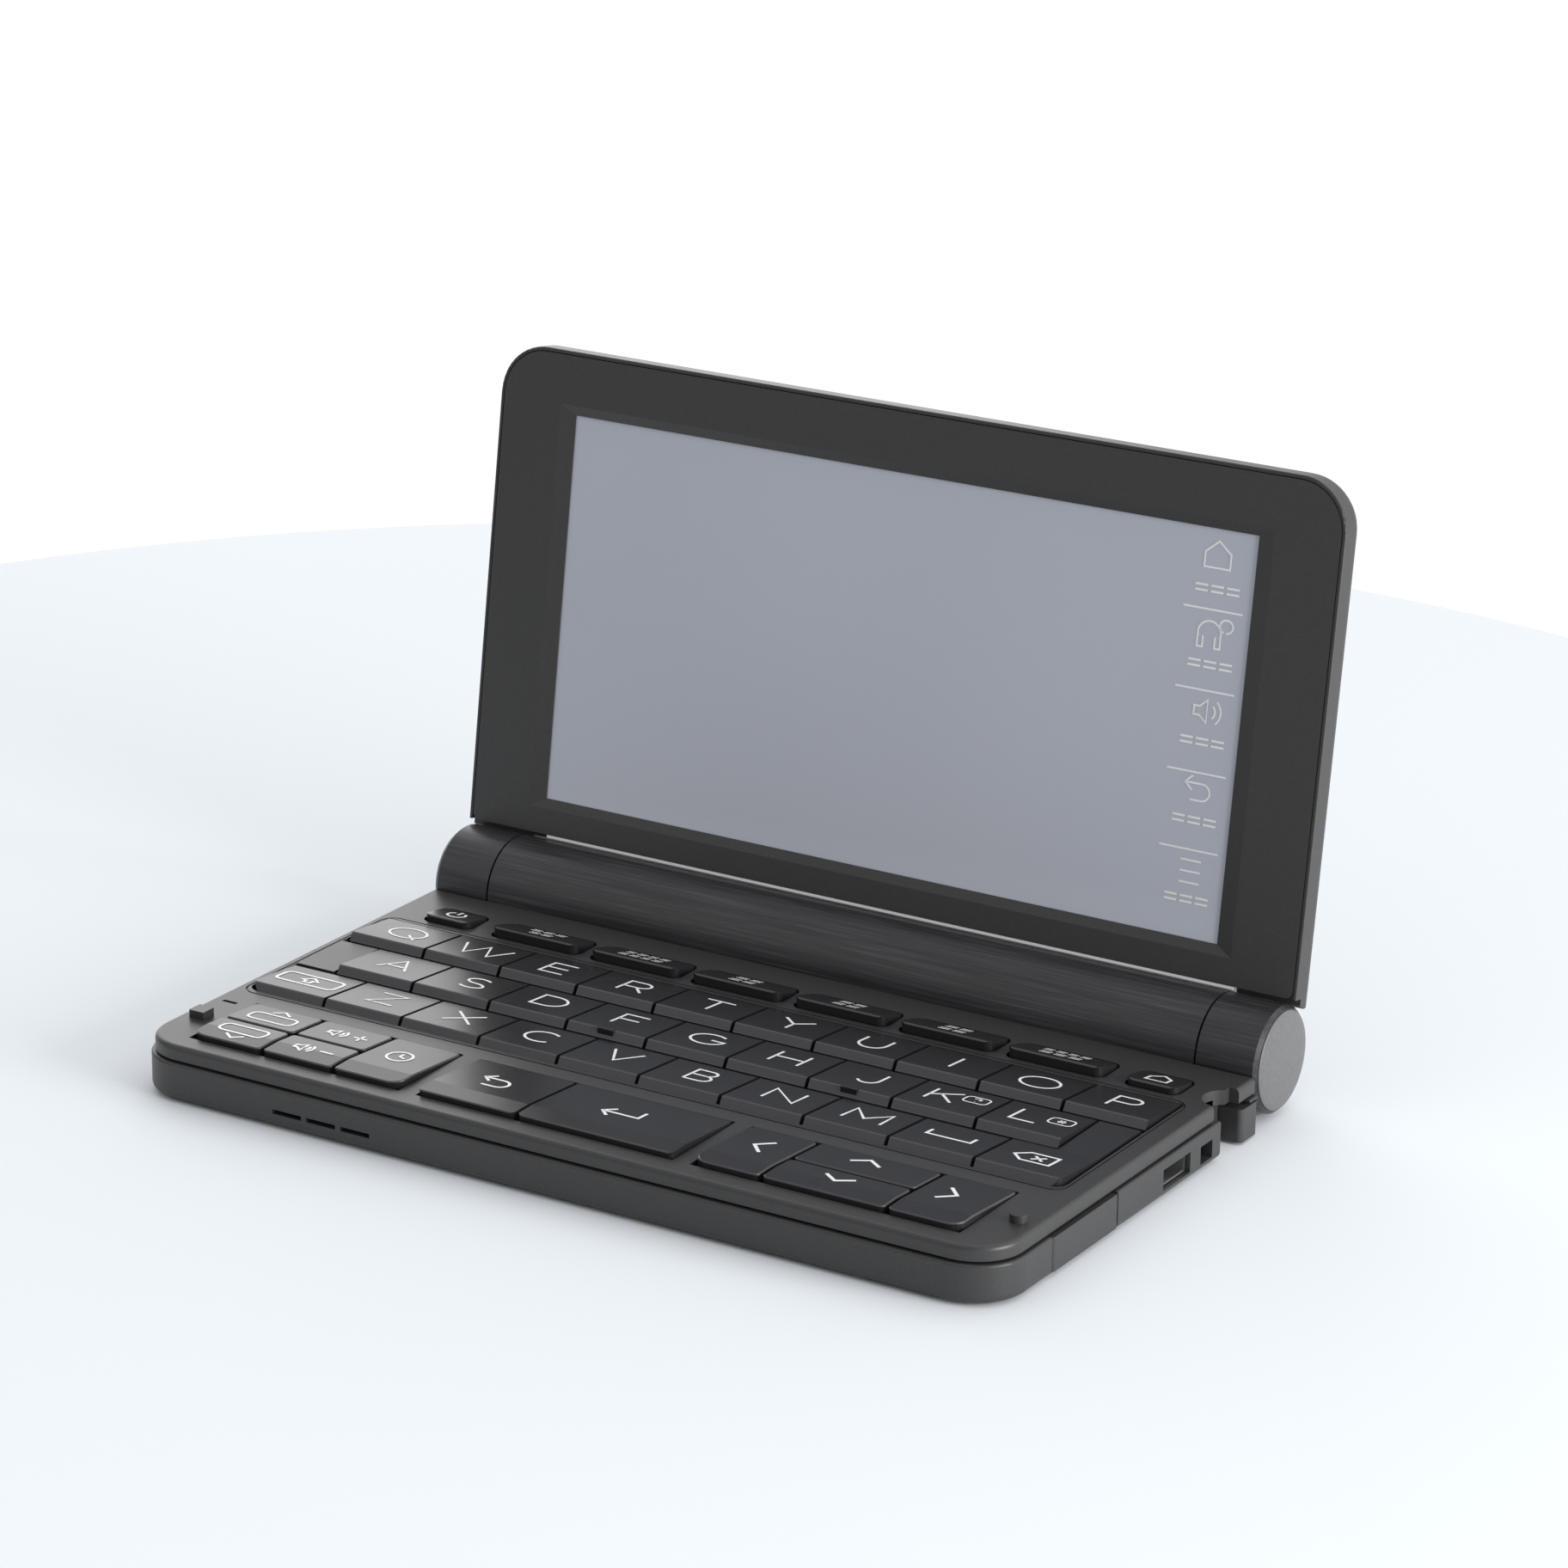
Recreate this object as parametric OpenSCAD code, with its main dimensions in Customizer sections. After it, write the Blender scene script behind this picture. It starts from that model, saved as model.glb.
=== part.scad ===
// Clamshell electronic dictionary: key base, battery barrel at the hinge, and a lid with a touch display.
// Millimetres, +Z up, standing on its rubber feet with the lid open as in use.
// Shapes are written in the hinge frame (y = 0 and axis height at the hinge axis) and then moved by placed().

/* [Body] */
// Width of the base and of the lid
body_w = 148; // [144:1:156]
// Distance from the hinge axis to the front of the base
base_reach = 85.5; // [84:0.5:92]
// Plan radius of the outer corners
corner_r = 8; // [5:0.5:9]
// Height of the key deck above the table
deck_z = 8.9; // [8.6:0.1:10]
// Height of the bottom case's rim above the table
rim_z = 6.3; // [6:0.1:6.4]
// How far the rubber feet stand out of the bottom case
foot_proud = 0.4; // [0.3:0.1:0.8]
// Wall thickness of the bottom case
case_wall = 1.6; // [1.2:0.1:2]
// Floor thickness of the bottom case
case_floor = 1.2; // [1:0.1:1.4]
// Rounding of the bottom case's lower edge
bottom_fillet = 1.2; // [0.6:0.1:1.4]
// Step from the bottom case in to the top case, on every side
deck_inset = 0.6; // [0.4:0.1:0.8]
// Thickness of the key deck
deck_t = 1.5; // [1.2:0.1:1.6]
// Rounding of the top case's upper edge
deck_fillet = 0.8; // [0.4:0.1:1]
// Height of the two bumpers that the closed lid rests on
bumper_h = 1.2; // [0.9:0.1:1.2]

/* [Lid] */
// Distance from the hinge axis to the top of the lid
lid_reach = 86.2; // [85:0.2:92]
// Thickness of the lid
lid_t = 5.6; // [5.4:0.1:6.5]
// Distance that the lid's face lies behind the hinge axis
lid_setback = 1.4; // [1.3:0.1:1.8]
// Lean of the open lid, back from upright
lid_lean = 8.1; // [0:0.1:30]
// Rounding of the lid's rear edge
lid_fillet = 2.5; // [1.5:0.1:2.8]
// Wall thickness of the lid shell
lid_wall = 1.2; // [1:0.1:1.4]
// Thickness of the bezel
bezel_t = 0.7; // [0.6:0.05:0.9]
// Width of the lid shell's rim in front, beside the bezel
rim_w = 0.55; // [0.4:0.05:0.8]
// Width of the visible screen
screen_w = 120; // [110:1:122]
// Height of the visible screen
screen_h = 61.6; // [56:0.2:62]
// Distance from the hinge axis to the lower edge of the screen
screen_low = 14.6; // [14:0.2:17]
// Width of the bezel's slope around the screen, at the sides
slope_side = 2.7; // [1.5:0.1:4]
// Width of the bezel's slope above and below the screen
slope_end = 1.5; // [1:0.1:2.5]

/* [Hinge barrel] */
// Outer radius of the battery barrel and of the lid's barrel ends
barrel_r = 8.25; // [8.25:0.05:8.4]
// Half the length of the battery barrel
barrel_half = 63; // [60:0.5:64]
// Outer end of the lid's barrel ends, from the middle
barrel_end = 73.3; // [70:0.1:73.4]
// Radius of a battery cell
cell_r = 7.1; // [6.8:0.05:7.15]
// Length of a battery cell with its tip
cell_l = 50.2; // [48:0.1:50.5]
// Radius of the hinge pins
pin_r = 3; // [2.5:0.1:3.5]
// Radius of the domed end caps
cap_r = 7.6; // [6:0.1:7.7]

/* [Keys] */
// Pitch of the letter keys
key_pitch = 14.06; // [13.6:0.02:14.2]
// Slit between neighbouring keys
key_slit = 0.6; // [0.3:0.05:0.7]
// Depth of the first letter row, front to back
row_1_d = 10.9; // [10:0.1:11.2]
// Depth of the other letter rows
row_d = 11.6; // [11:0.1:11.9]
// Pitch of the letter rows, front to back
row_pitch = 12.75; // [12.6:0.05:13]
// Height of a key's front edge above the deck
key_rise = 1; // [0.6:0.1:1]
// Travel of a key
key_travel = 0.8; // [0.5:0.05:0.8]
// Number of dictionary keys in the row below the barrel
dictionary_count = 6; // [4:1:6]
// Width of a dictionary key
dictionary_w = 15.75; // [14:0.25:16]
// Depth of the dictionary keys
function_d = 6; // [5:0.1:6.2]
// Depth of the front row of keys
front_d = 16.2; // [14:0.1:16.5]

/* [Ports and stylus] */
// Width of the data socket's opening
usb_w = 8.2; // [7.8:0.1:9]
// Height of the data socket's opening
usb_h = 3.2; // [2.9:0.1:3.4]
// Length of the card door
door_l = 18.4; // [16:0.1:22]
// Radius of the earphone socket's bore
jack_r = 1.8; // [1.76:0.01:1.85]
// Depth of the earphone socket's bore
jack_l = 14; // [10:0.5:15]
// Length of the stylus
stylus_l = 92; // [70:1:100]
// Width of the stylus head, front to back
stylus_head_w = 5.2; // [4:0.1:5.2]
// Radius of the stylus barrel
stylus_r = 1.7; // [1.4:0.1:1.8]

/* [Clearances] */
// Gap between pieces that move past each other
move_gap = 0.35; // [0.25:0.05:0.4]
// Gap around the keys
key_gap = 0.25; // [0.2:0.05:0.3]
// Gap between fixed pieces
fit_gap = 0.1; // [0.05:0.05:0.15]
// Radial clearance of the hinge pins in their bores
pin_gap = 0.05; // [0.02:0.01:0.09]

/* [Hidden] */
$fn = 48;
// Rows of letter keys, from the barrel to the front
letter_rows = ["qwertyuiop", "asdfghjkl", "zxcvbnm"];
// Every letter that has a key of its own
letters = [for (row = letter_rows) for (i = [0:len(row) - 1]) row[i]];
base_nodes = [
    "bottom_case", "top_case", "battery_barrel", "battery_cells", "battery_contacts",
    "main_board", "key_sheet", "speaker", "usb_socket", "earphone_jack", "card_socket",
    "rubber_feet", "case_screws"
];
moving_nodes = ["battery_cover", "card_door", "stylus"];
lid_nodes = [
    "lid_shell", "lid_bezel", "hinge_trim", "touch_panel", "display_panel", "barrel_ends",
    "end_caps", "hinge_pins"
];
key_nodes = [
    "power_key", "home_key", "shift_key", "space_key", "delete_key", "back_key", "enter_key",
    "dictionary_keys", "page_volume_keys", "arrow_keys"
];

// Small length by which a cut runs past the face it opens
cut = 1;
half_w = body_w / 2;
bottom_z = foot_proud;
// Hinge axis at the height of the deck
axis_z = deck_z;
floor_z = bottom_z + case_floor;
deck_under_z = deck_z - deck_t;
deck_half_w = half_w - deck_inset;
deck_reach = base_reach - deck_inset;
lid_back = lid_setback + lid_t;
// Rearmost point of the leaning lid, and the hinge's place in the frame centred on the whole outline
lid_rearmost = (lid_reach - lid_fillet) * sin(lid_lean) + (lid_back - lid_fillet) * cos(lid_lean) + lid_fillet;
hinge_y = (base_reach - lid_rearmost) / 2;

// The key sizes and the barrel's lengths are given for a body 148 wide with 77.25 between barrel and front;
// on another body they grow or shrink by these shares
fit_x = body_w / 148;
fit_y = (base_reach - barrel_r) / 77.25;
pitch_x = key_pitch * fit_x;
pitch_y = row_pitch * fit_y;
first_d = row_1_d * fit_y;
letter_d = row_d * fit_y;
dictionary_x = dictionary_w * fit_x;
function_y = function_d * fit_y;
front_y = front_d * fit_y;
barrel_x = barrel_half * fit_x;
end_x = barrel_end * fit_x;

// Colours of the plastics, metals and rubber
case_colour = [0.16, 0.16, 0.17];
deck_colour = [0.19, 0.19, 0.2];
key_colour = [0.14, 0.14, 0.15];
cap_colour = [0.5, 0.5, 0.5];
screen_colour = [0.6, 0.62, 0.66];
metal_colour = [0.75, 0.75, 0.76];
board_colour = [0.1, 0.35, 0.2];
rubber_colour = [0.1, 0.1, 0.1];
cell_colour = [0.35, 0.45, 0.55];

// ---- Key layout: every rectangle is [left, front, right, back] in the hinge frame ----

// Room beside the letter keys, and the share of it that lies at their left
side_room = body_w - 10 * pitch_x;
left_share = 0.372;
letter_left = left_share * side_room - half_w;
// Strips of deck behind and in front of the function keys
rear_strip = 6.55 * fit_y;
function_front = -barrel_r - rear_strip - function_y;
front_strip = 2.65 * fit_y;
row_1_front = function_front - front_strip - first_d;
// How far each letter row starts to the right of the first, in key pitches
row_shifts = [0, 0.487, 0.9815];
// How far the webs between the letter rows lie below the deck
web_drop = 0.7;
row_lefts = [for (s = row_shifts) letter_left + s * pitch_x];
shift_w = row_lefts[2] - letter_left;
function row_front(row) = row_1_front - row * pitch_y;
function row_depth(row) = row == 0 ? first_d : letter_d;
// Rectangle that starts at x and takes a given width, less half a slit on each side
function key_cell(x, w, front, d) = [x + key_slit / 2, front, x + w - key_slit / 2, front + d];
function letter_rect(row, i) =
    key_cell(row_lefts[row] + i * pitch_x, pitch_x, row_front(row), row_depth(row));
letters_right = letter_left + 10 * pitch_x;
space_left = row_lefts[2] + 7 * pitch_x;
shift_rect = key_cell(letter_left, shift_w, row_front(2), letter_d);
space_rect = key_cell(space_left, pitch_x, row_front(2), letter_d);
delete_rect = key_cell(space_left + pitch_x, letters_right - space_left - pitch_x, row_front(2), letter_d);
// Corner beside the second row, which the delete key fills too
delete_back_left = row_lefts[1] + 9 * pitch_x;
delete_back_rect = key_cell(delete_back_left, letters_right - delete_back_left, row_front(1), letter_d);
// Rounding of the two outer front corners of the letter keys
field_corner = 2;

dictionary_gap = 2.68 * fit_x;
dictionary_pitch = dictionary_x + dictionary_gap;
dictionary_shift = 0.35;
dictionary_left = dictionary_shift - ((dictionary_count - 1) * dictionary_pitch + dictionary_x) / 2;
// Height of a dictionary key's front edge above the deck
dictionary_rise = 1.5;
function_key_w = 8.3 * fit_x;
power_margin = 7.6 * fit_x;
home_margin = 7.3 * fit_x;
power_left = power_margin - half_w;
home_left = half_w - home_margin - function_key_w;
// Gap around the function keys, and the corners of those keys and of their openings
function_gap = 0.45;
function_corner = 1.2;
power_rect = [power_left, function_front, power_left + function_key_w, function_front + function_y];
home_rect = [home_left, function_front, home_left + function_key_w, function_front + function_y];
function dictionary_rect(i) = [
    dictionary_left + i * dictionary_pitch, function_front,
    dictionary_left + i * dictionary_pitch + dictionary_x, function_front + function_y
];

front_margin = 4.7 * fit_y;
front_row_front = front_margin - base_reach;
front_mid = front_row_front + front_y / 2;
front_back = front_row_front + front_y;
// Edges of the three groups of the front row, left to right, from their widths
function edges(left, w, i = 0) = i == len(w) ? [left] : concat([left], edges(left + w[i], w, i + 1));
page_margin = 7.9 * fit_x;
page_x = edges(page_margin - half_w, [12.75, 12.85, 11.9] * fit_x);
enter_left = -25.1 * fit_x;
enter_x = edges(enter_left, [17.05, 26.65] * fit_x);
arrow_margin = 8.8 * fit_x;
arrow_w = [11.2, 20.35, 11.75] * fit_x;
arrow_x = edges(half_w - arrow_margin - arrow_w[0] - arrow_w[1] - arrow_w[2], arrow_w);
// Distance from a front key's front edge to the knee in its top, and the slope in front of the knee
front_knee = 3.8;
knee_slope = 0.03;
function front_cell(xs, i, low, high) =
    [xs[i] + (i > 0 ? key_slit / 2 : 0), low, xs[i + 1] - (i < len(xs) - 2 ? key_slit / 2 : 0), high];
upper_low = front_mid + key_slit / 2;
lower_high = front_mid - key_slit / 2;
page_volume_rects = [
    front_cell(page_x, 0, upper_low, front_back), front_cell(page_x, 0, front_row_front, lower_high),
    front_cell(page_x, 1, upper_low, front_back), front_cell(page_x, 1, front_row_front, lower_high),
    front_cell(page_x, 2, front_row_front, front_back)
];
back_rect = front_cell(enter_x, 0, front_row_front, front_back);
enter_rect = front_cell(enter_x, 1, front_row_front, front_back);
arrow_rects = [
    front_cell(arrow_x, 0, front_row_front, front_back),
    front_cell(arrow_x, 1, upper_low, front_back), front_cell(arrow_x, 1, front_row_front, lower_high),
    front_cell(arrow_x, 2, front_row_front, front_back)
];
// Underside of the keys, and the dome height that the travel leaves free
key_base_z = deck_under_z - 1.1;
dome_top_z = key_base_z - key_travel - fit_gap;
board_z = dome_top_z - 1.9;
board_t = 1;
sheet_t = 0.4;
key_back_rise = 0.1;
key_corner = 0.8;
// Bar for the index finger on the front of the f and j keys
homing_keys = "fj";
homing_w = 2.7;

// ---- Places of the ports, the stylus and the fasteners, in the hinge frame ----

usb_y = -33.7;
usb_z = floor_z + usb_h / 2;
usb_depth = 6;
door_margin = 15.5;
door_front_y = door_margin - base_reach;
door_t = 1.4;
door_h = rim_z - bottom_z - 0.7;
strap_y = -24.6;
strap_w = 3.6;
strap_h = 2.8;
notch_front_y = -20.3;
notch_depth = 3.8;
notch_x = half_w - notch_depth;
// Rear edge of the hollow inside the base, just behind the function keys
hollow_back_y = -14.2;
jack_y = -11.9;
jack_body_w = 5;
jack_body_h = 4.2;
jack_nose_r = 2;
jack_z = floor_z + fit_gap + jack_body_h / 2;
stylus_y = -barrel_r - 0.2 - stylus_head_w / 2;
stylus_head_h = 5.2;
stylus_z = bottom_z + 0.05 + stylus_head_h / 2;
stylus_head_l = 8;
stylus_channel_r = stylus_r + move_gap;
stylus_tip_l = 8;
boss_r = 2.2;
screw_r = 0.8;
screw_head_r = 1.6;
screw_head_h = 0.8;
boss_x = half_w - 4.8;
boss_front_y = 8 - base_reach;
boss_spots = [[-boss_x, boss_front_y], [boss_x, boss_front_y], [-boss_x, -18.5], [half_w - 10.4, -22.8]];
foot_r = 2.6;
foot_seat = 0.5;
foot_front = [half_w - 14, 6 - base_reach];
foot_rear = [half_w - 24, -6.8];
foot_spots = [for (p = [foot_front, foot_rear]) for (side = [-1, 1]) [side * p[0], p[1]]];
// Rear edge of the bottom case, under the barrel
case_back_y = -3.6;
cap_dome = 0.45;
board_low = [10 - half_w, 3.5 - base_reach];
board_high = [half_w - 8, -25.4];
// Processor, memory and radio module on the board: left, front, width, depth, height
chips = [[-12, -58, 14, 14, 0.9], [12, -56, 10, 10, 0.8], [30, -48, 14, 12, 0.9]];
dome_r = 2.5;
speaker_r = 8;
speaker_h = 2.6;
speaker_spot = [35 - half_w, 11.5 - base_reach];
speaker_gap = 0.6;
// Half the width of the bay that the board leaves in front of the speaker
speaker_bay = speaker_r + speaker_gap + 1;
bumper_spot = [half_w - 3.9, 12.5 - base_reach];
// Lamp slot behind the left bumper: its middle and its size
lamp_spot = [-bumper_spot[0], bumper_spot[1] + 6.95];
lamp_size = [2.6, 0.7];
bumper_r = 1.3;
pin_bore = pin_r + pin_gap;
chamber_half = cell_l + 1.6;
// Wall between the battery chamber and a pin's bore, and the bore's depth in the battery barrel
seat_wall = 2.2;
pin_seat = barrel_x - chamber_half - seat_wall;
// Outer end of the pins, at this share of the length of the lid's barrel ends
pin_share = 0.55;
pin_end = barrel_x + move_gap + pin_share * (end_x - barrel_x - move_gap);
chamber_r = cell_r + 0.3;
opening_half = chamber_r - 0.15;
// Turn of the battery opening, from straight back towards the table
cover_turn = -25;
cover_gap = 0.2;
// Lower edges of the lid shell and of the bezel, and the depth of the recess below the bezel
lid_low = 7.2;
bezel_low = 8.95;
lid_recess = 1.6;
// Ends of the light strip below the bezel
trim_left = 15 - half_w;
trim_right = half_w - 10.5;

// ---- Helpers ----

// Moves a shape from the hinge frame to its place
module placed() {
    translate([0, hinge_y, 0]) children();
}

// Moves a lid shape: x across, y backwards from the hinge axis, z up along the lid
module on_lid() {
    placed() translate([0, 0, axis_z]) rotate([-lid_lean, 0, 0]) children();
}

// Half of a slab's section: x out to reach, y up to h, with rounded lower and upper outer edges
module edge_section(reach, h, low_r, high_r) {
    square([reach - low_r, h]);
    translate([0, low_r]) square([reach - high_r, h - low_r]);
    translate([0, low_r]) square([reach, h - low_r - high_r]);
    translate([reach - low_r, low_r]) circle(low_r);
    translate([reach - high_r, h - high_r]) circle(high_r);
}

// Whole section of a slab that is 2 * reach wide
module slab_section(reach, h, low_r, high_r) {
    edge_section(reach, h, low_r, high_r);
    mirror([1, 0]) edge_section(reach, h, low_r, high_r);
}

// Slab on z = 0 with round corners in plan and rounded lower and upper edges
module slab(x_half, y_low, y_high, h, corner, low_r, high_r) {
    y_mid = (y_low + y_high) / 2;
    y_half = (y_high - y_low) / 2;
    translate([0, y_mid, 0]) {
        translate([0, y_half - corner, 0]) rotate([90, 0, 0])
            linear_extrude(2 * (y_half - corner)) slab_section(x_half, h, low_r, high_r);
        translate([corner - x_half, 0, 0]) rotate([90, 0, 90])
            linear_extrude(2 * (x_half - corner)) slab_section(y_half, h, low_r, high_r);
        for (sx = [-1, 1])
            for (sy = [-1, 1])
                translate([sx * (x_half - corner), sy * (y_half - corner), 0])
                    rotate_extrude() edge_section(corner, h, low_r, high_r);
    }
}

// Plain plate on z = 0 with round corners in plan
module plate(x_half, y_low, y_high, h, corner) {
    translate([-x_half, y_low + corner, 0]) cube([2 * x_half, y_high - y_low - 2 * corner, h]);
    translate([corner - x_half, y_low, 0]) cube([2 * (x_half - corner), y_high - y_low, h]);
    for (sx = [-1, 1])
        for (y = [y_low + corner, y_high - corner])
            translate([sx * (x_half - corner), y, 0]) cylinder(h = h, r = corner);
}

// Rod along X, centred at the hinge axis unless moved
module x_rod(x0, x1, r) {
    translate([x0, 0, 0]) rotate([0, 90, 0]) cylinder(h = x1 - x0, r = r);
}

// Box from its lowest to its highest corner
module block(low, high) {
    translate(low) cube(high - low);
}

// Outline of a rectangle with its four corners cut round
module round_rect(r, corner) {
    translate([r[0] + corner, r[1]]) square([r[2] - r[0] - 2 * corner, r[3] - r[1]]);
    translate([r[0], r[1] + corner]) square([r[2] - r[0], r[3] - r[1] - 2 * corner]);
    for (x = [r[0] + corner, r[2] - corner])
        for (y = [r[1] + corner, r[3] - corner])
            translate([x, y]) circle(corner, $fn = 24);
}

// Outline of a rectangle with its two front corners cut round
module front_round_rect(r, corner) {
    translate([r[0] + corner, r[1]]) square([r[2] - r[0] - 2 * corner, r[3] - r[1]]);
    translate([r[0], r[1] + corner]) square([r[2] - r[0], r[3] - r[1] - corner]);
    for (x = [r[0] + corner, r[2] - corner])
        translate([x, r[1] + corner]) circle(corner);
}

// A rectangle made larger by a gap on every side
function grown(r, gap) = [r[0] - gap, r[1] - gap, r[2] + gap, r[3] + gap];

// Opening in the deck around one key rectangle
module key_opening(r) {
    block([r[0] - key_gap, r[1] - key_gap, deck_under_z - cut], [r[2] + key_gap, r[3] + key_gap, deck_z + cut]);
}

// Opening with round corners around one function key
module function_opening(r) {
    translate([0, 0, deck_under_z - cut]) linear_extrude(deck_t + 2 * cut)
        round_rect(grown(r, function_gap), function_corner + function_gap);
}

// Key with a sloping top and a bevelled front face, as the letter keys have; the top runs on level by extra
module letter_key(r, extra = 0) {
    slope_end = r[3] - r[1] - 0.25;
    full = r[3] - r[1] + extra;
    top = deck_z - key_base_z + key_rise;
    back_top = deck_z - key_base_z + key_back_rise;
    translate([r[0], r[1], key_base_z]) rotate([90, 0, 90]) linear_extrude(r[2] - r[0]) polygon([
        [0, 0], [0, top - key_rise - 0.25], [0.15, top - key_rise - 0.1], [0.75, top - 0.12], [1, top],
        [1.3, top - 0.02], [slope_end, back_top + 0.05], if (extra > 0) [full - 0.25, back_top + 0.05],
        [full, back_top - 0.15], [full, 0]
    ]);
}

// Bar that stands out of a letter key's bevelled front
module homing_bar(r) {
    middle = (r[0] + r[2]) / 2;
    top_z = deck_z + key_rise;
    block([middle - homing_w / 2, r[1] + 0.35, top_z - 0.9], [middle + homing_w / 2, r[1] + 1.15, top_z + 0.1]);
}

// Key at the left front corner of the letter keys
module shift_key() {
    intersection() {
        letter_key(shift_rect);
        linear_extrude(deck_z + 2 * key_rise)
            front_round_rect([shift_rect[0], shift_rect[1], shift_rect[2] + 2 * field_corner, shift_rect[3]],
                field_corner);
    }
}

// Key at the right front corner, which also fills the corner beside the second row
module delete_key() {
    intersection() {
        letter_key(delete_rect, delete_back_rect[3] - delete_rect[3]);
        linear_extrude(deck_z + 2 * key_rise) {
            front_round_rect([delete_rect[0] - 2 * field_corner, delete_rect[1], delete_rect[2], delete_rect[3]],
                field_corner);
            translate([delete_back_rect[0], delete_rect[3] - 1])
                square([delete_back_rect[2] - delete_back_rect[0], delete_back_rect[3] - delete_rect[3] + 1]);
        }
    }
}

// Key with an upright front and a top that falls to the back, and slightly to the front from the knee on
module flat_key(r, rise = key_rise, knee = 0.4, corner = key_corner) {
    depth = r[3] - r[1];
    deck = deck_z - key_base_z;
    top = deck + rise;
    edge = top - knee_slope * knee;
    intersection() {
        translate([r[0], r[1], key_base_z]) rotate([90, 0, 90]) linear_extrude(r[2] - r[0]) polygon([
            [0, 0], [0, edge - 0.2], [0.06, edge - 0.07], [0.2, edge], [knee, top],
            [depth - 0.25, deck + key_back_rise + 0.1], [depth, deck + key_back_rise - 0.1], [depth, 0]
        ]);
        translate([0, 0, key_base_z - cut]) linear_extrude(top + 2 * cut) round_rect(r, corner);
    }
}

// Key of the front row; those in its front line have the knee
module front_key(r) {
    flat_key(r, knee = r[1] > front_row_front ? 0.4 : front_knee);
}

module function_key(r, rise = key_rise) {
    flat_key(r, rise = rise, corner = function_corner);
}

// ---- Base ----

// Everything that the space for the barrel and the lid's barrel ends takes from the base
module barrel_space() {
    translate([0, 0, axis_z]) x_rod(-half_w - cut, half_w + cut, barrel_r + fit_gap);
    for (side = [-1, 1])
        mirror([side < 0 ? 1 : 0, 0, 0])
            block([barrel_x - fit_gap, -barrel_r - move_gap, -cut], [half_w + cut, cut, deck_z + cut]);
}

// Head and channel of the stylus, cut from the bottom case
module stylus_space() {
    head_half = stylus_head_w / 2 + move_gap;
    block([half_w - stylus_head_l - move_gap, stylus_y - head_half, bottom_z - cut],
        [half_w + cut, stylus_y + head_half + 2, stylus_z + stylus_head_h / 2 + move_gap]);
    translate([0, stylus_y, stylus_z])
        x_rod(half_w - stylus_l - 2 * move_gap, half_w, stylus_channel_r);
}

// Finger notch in the right side, in front of the stylus head
module notch_space() {
    block([notch_x, notch_front_y, bottom_z - cut], [half_w + cut, stylus_y, rim_z + cut]);
}

module bottom_case() {
    inner_half = half_w - case_wall;
    color(case_colour) placed() difference() {
        union() {
            difference() {
                translate([0, 0, bottom_z])
                    slab(half_w, -base_reach, corner_r, rim_z - bottom_z, corner_r, bottom_fillet, 0.4);
                block([-half_w - cut, case_back_y, -cut], [half_w + cut, corner_r + cut, rim_z + cut]);
                translate([0, 0, floor_z])
                    plate(inner_half, case_wall - base_reach, hollow_back_y, rim_z, corner_r - case_wall);
                barrel_space();
            }
            for (p = boss_spots)
                translate([p[0], p[1], floor_z - 0.2]) cylinder(h = rim_z - floor_z - 1, r = boss_r);
            // Walls around the finger notch
            block([notch_x - case_wall, notch_front_y - case_wall, floor_z - 0.2],
                [inner_half + 0.2, notch_front_y, rim_z]);
            block([notch_x - case_wall, notch_front_y - case_wall, floor_z - 0.2],
                [notch_x, hollow_back_y + 0.3, rim_z]);
        }
        for (p = boss_spots) {
            translate([p[0], p[1], bottom_z - cut]) cylinder(h = rim_z, r = screw_r + fit_gap, $fn = 32);
            translate([p[0], p[1], bottom_z - cut])
                cylinder(h = cut + screw_head_h + 0.2, r = screw_head_r + 0.2, $fn = 32);
        }
        for (p = foot_spots)
            translate([p[0], p[1], bottom_z - cut]) cylinder(h = cut + foot_seat, r = foot_r + fit_gap);
        stylus_space();
        notch_space();
        // Sound slots in the front wall
        for (i = [0:2])
            block([speaker_spot[0] - 8.8 + i * 6.1, -base_reach - cut, 2.45],
                [speaker_spot[0] - 3.6 + i * 6.1, case_wall - base_reach + cut, 3.15]);
        // Data socket, strap eye and card door in the right wall
        block([inner_half - cut, usb_y - usb_w / 2, usb_z - usb_h / 2],
            [half_w + cut, usb_y + usb_w / 2, usb_z + usb_h / 2]);
        block([inner_half - cut, strap_y - strap_w / 2, floor_z],
            [half_w + cut, strap_y + strap_w / 2, floor_z + strap_h]);
        block([half_w - door_t - 2 * fit_gap, door_front_y - 0.3, bottom_z + 0.35],
            [half_w + cut, door_front_y + door_l + 0.3, rim_z + cut]);
        block([inner_half - cut, door_front_y + 3, floor_z + 0.4],
            [half_w + cut, door_front_y + door_l - 1.5, rim_z + cut]);
        // Bore and pocket of the earphone socket in the left wall
        translate([0, jack_y, jack_z]) x_rod(-half_w - cut, -inner_half + cut, jack_nose_r + fit_gap);
        block([-inner_half, jack_y - jack_body_w / 2 - fit_gap, floor_z],
            [-half_w + jack_l + 1.6, jack_y + jack_body_w / 2 + fit_gap, rim_z + cut]);
        // Reset hole in the floor
        translate([-30, -45, bottom_z - cut]) cylinder(h = case_floor + 2 * cut, r = 0.8, $fn = 24);
    }
}

// Groove that frames the letter keys on the deck
module letter_groove() {
    left = letter_left - 0.75;
    right = letters_right + 0.9;
    low = row_front(2) - 1.4;
    high = row_front(0) + first_d + 1.1;
    difference() {
        round_rect([left, low, right, high], 2.5);
        round_rect([left + 0.3, low + 0.3, right - 0.3, high - 0.3], 2.2);
    }
}

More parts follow.
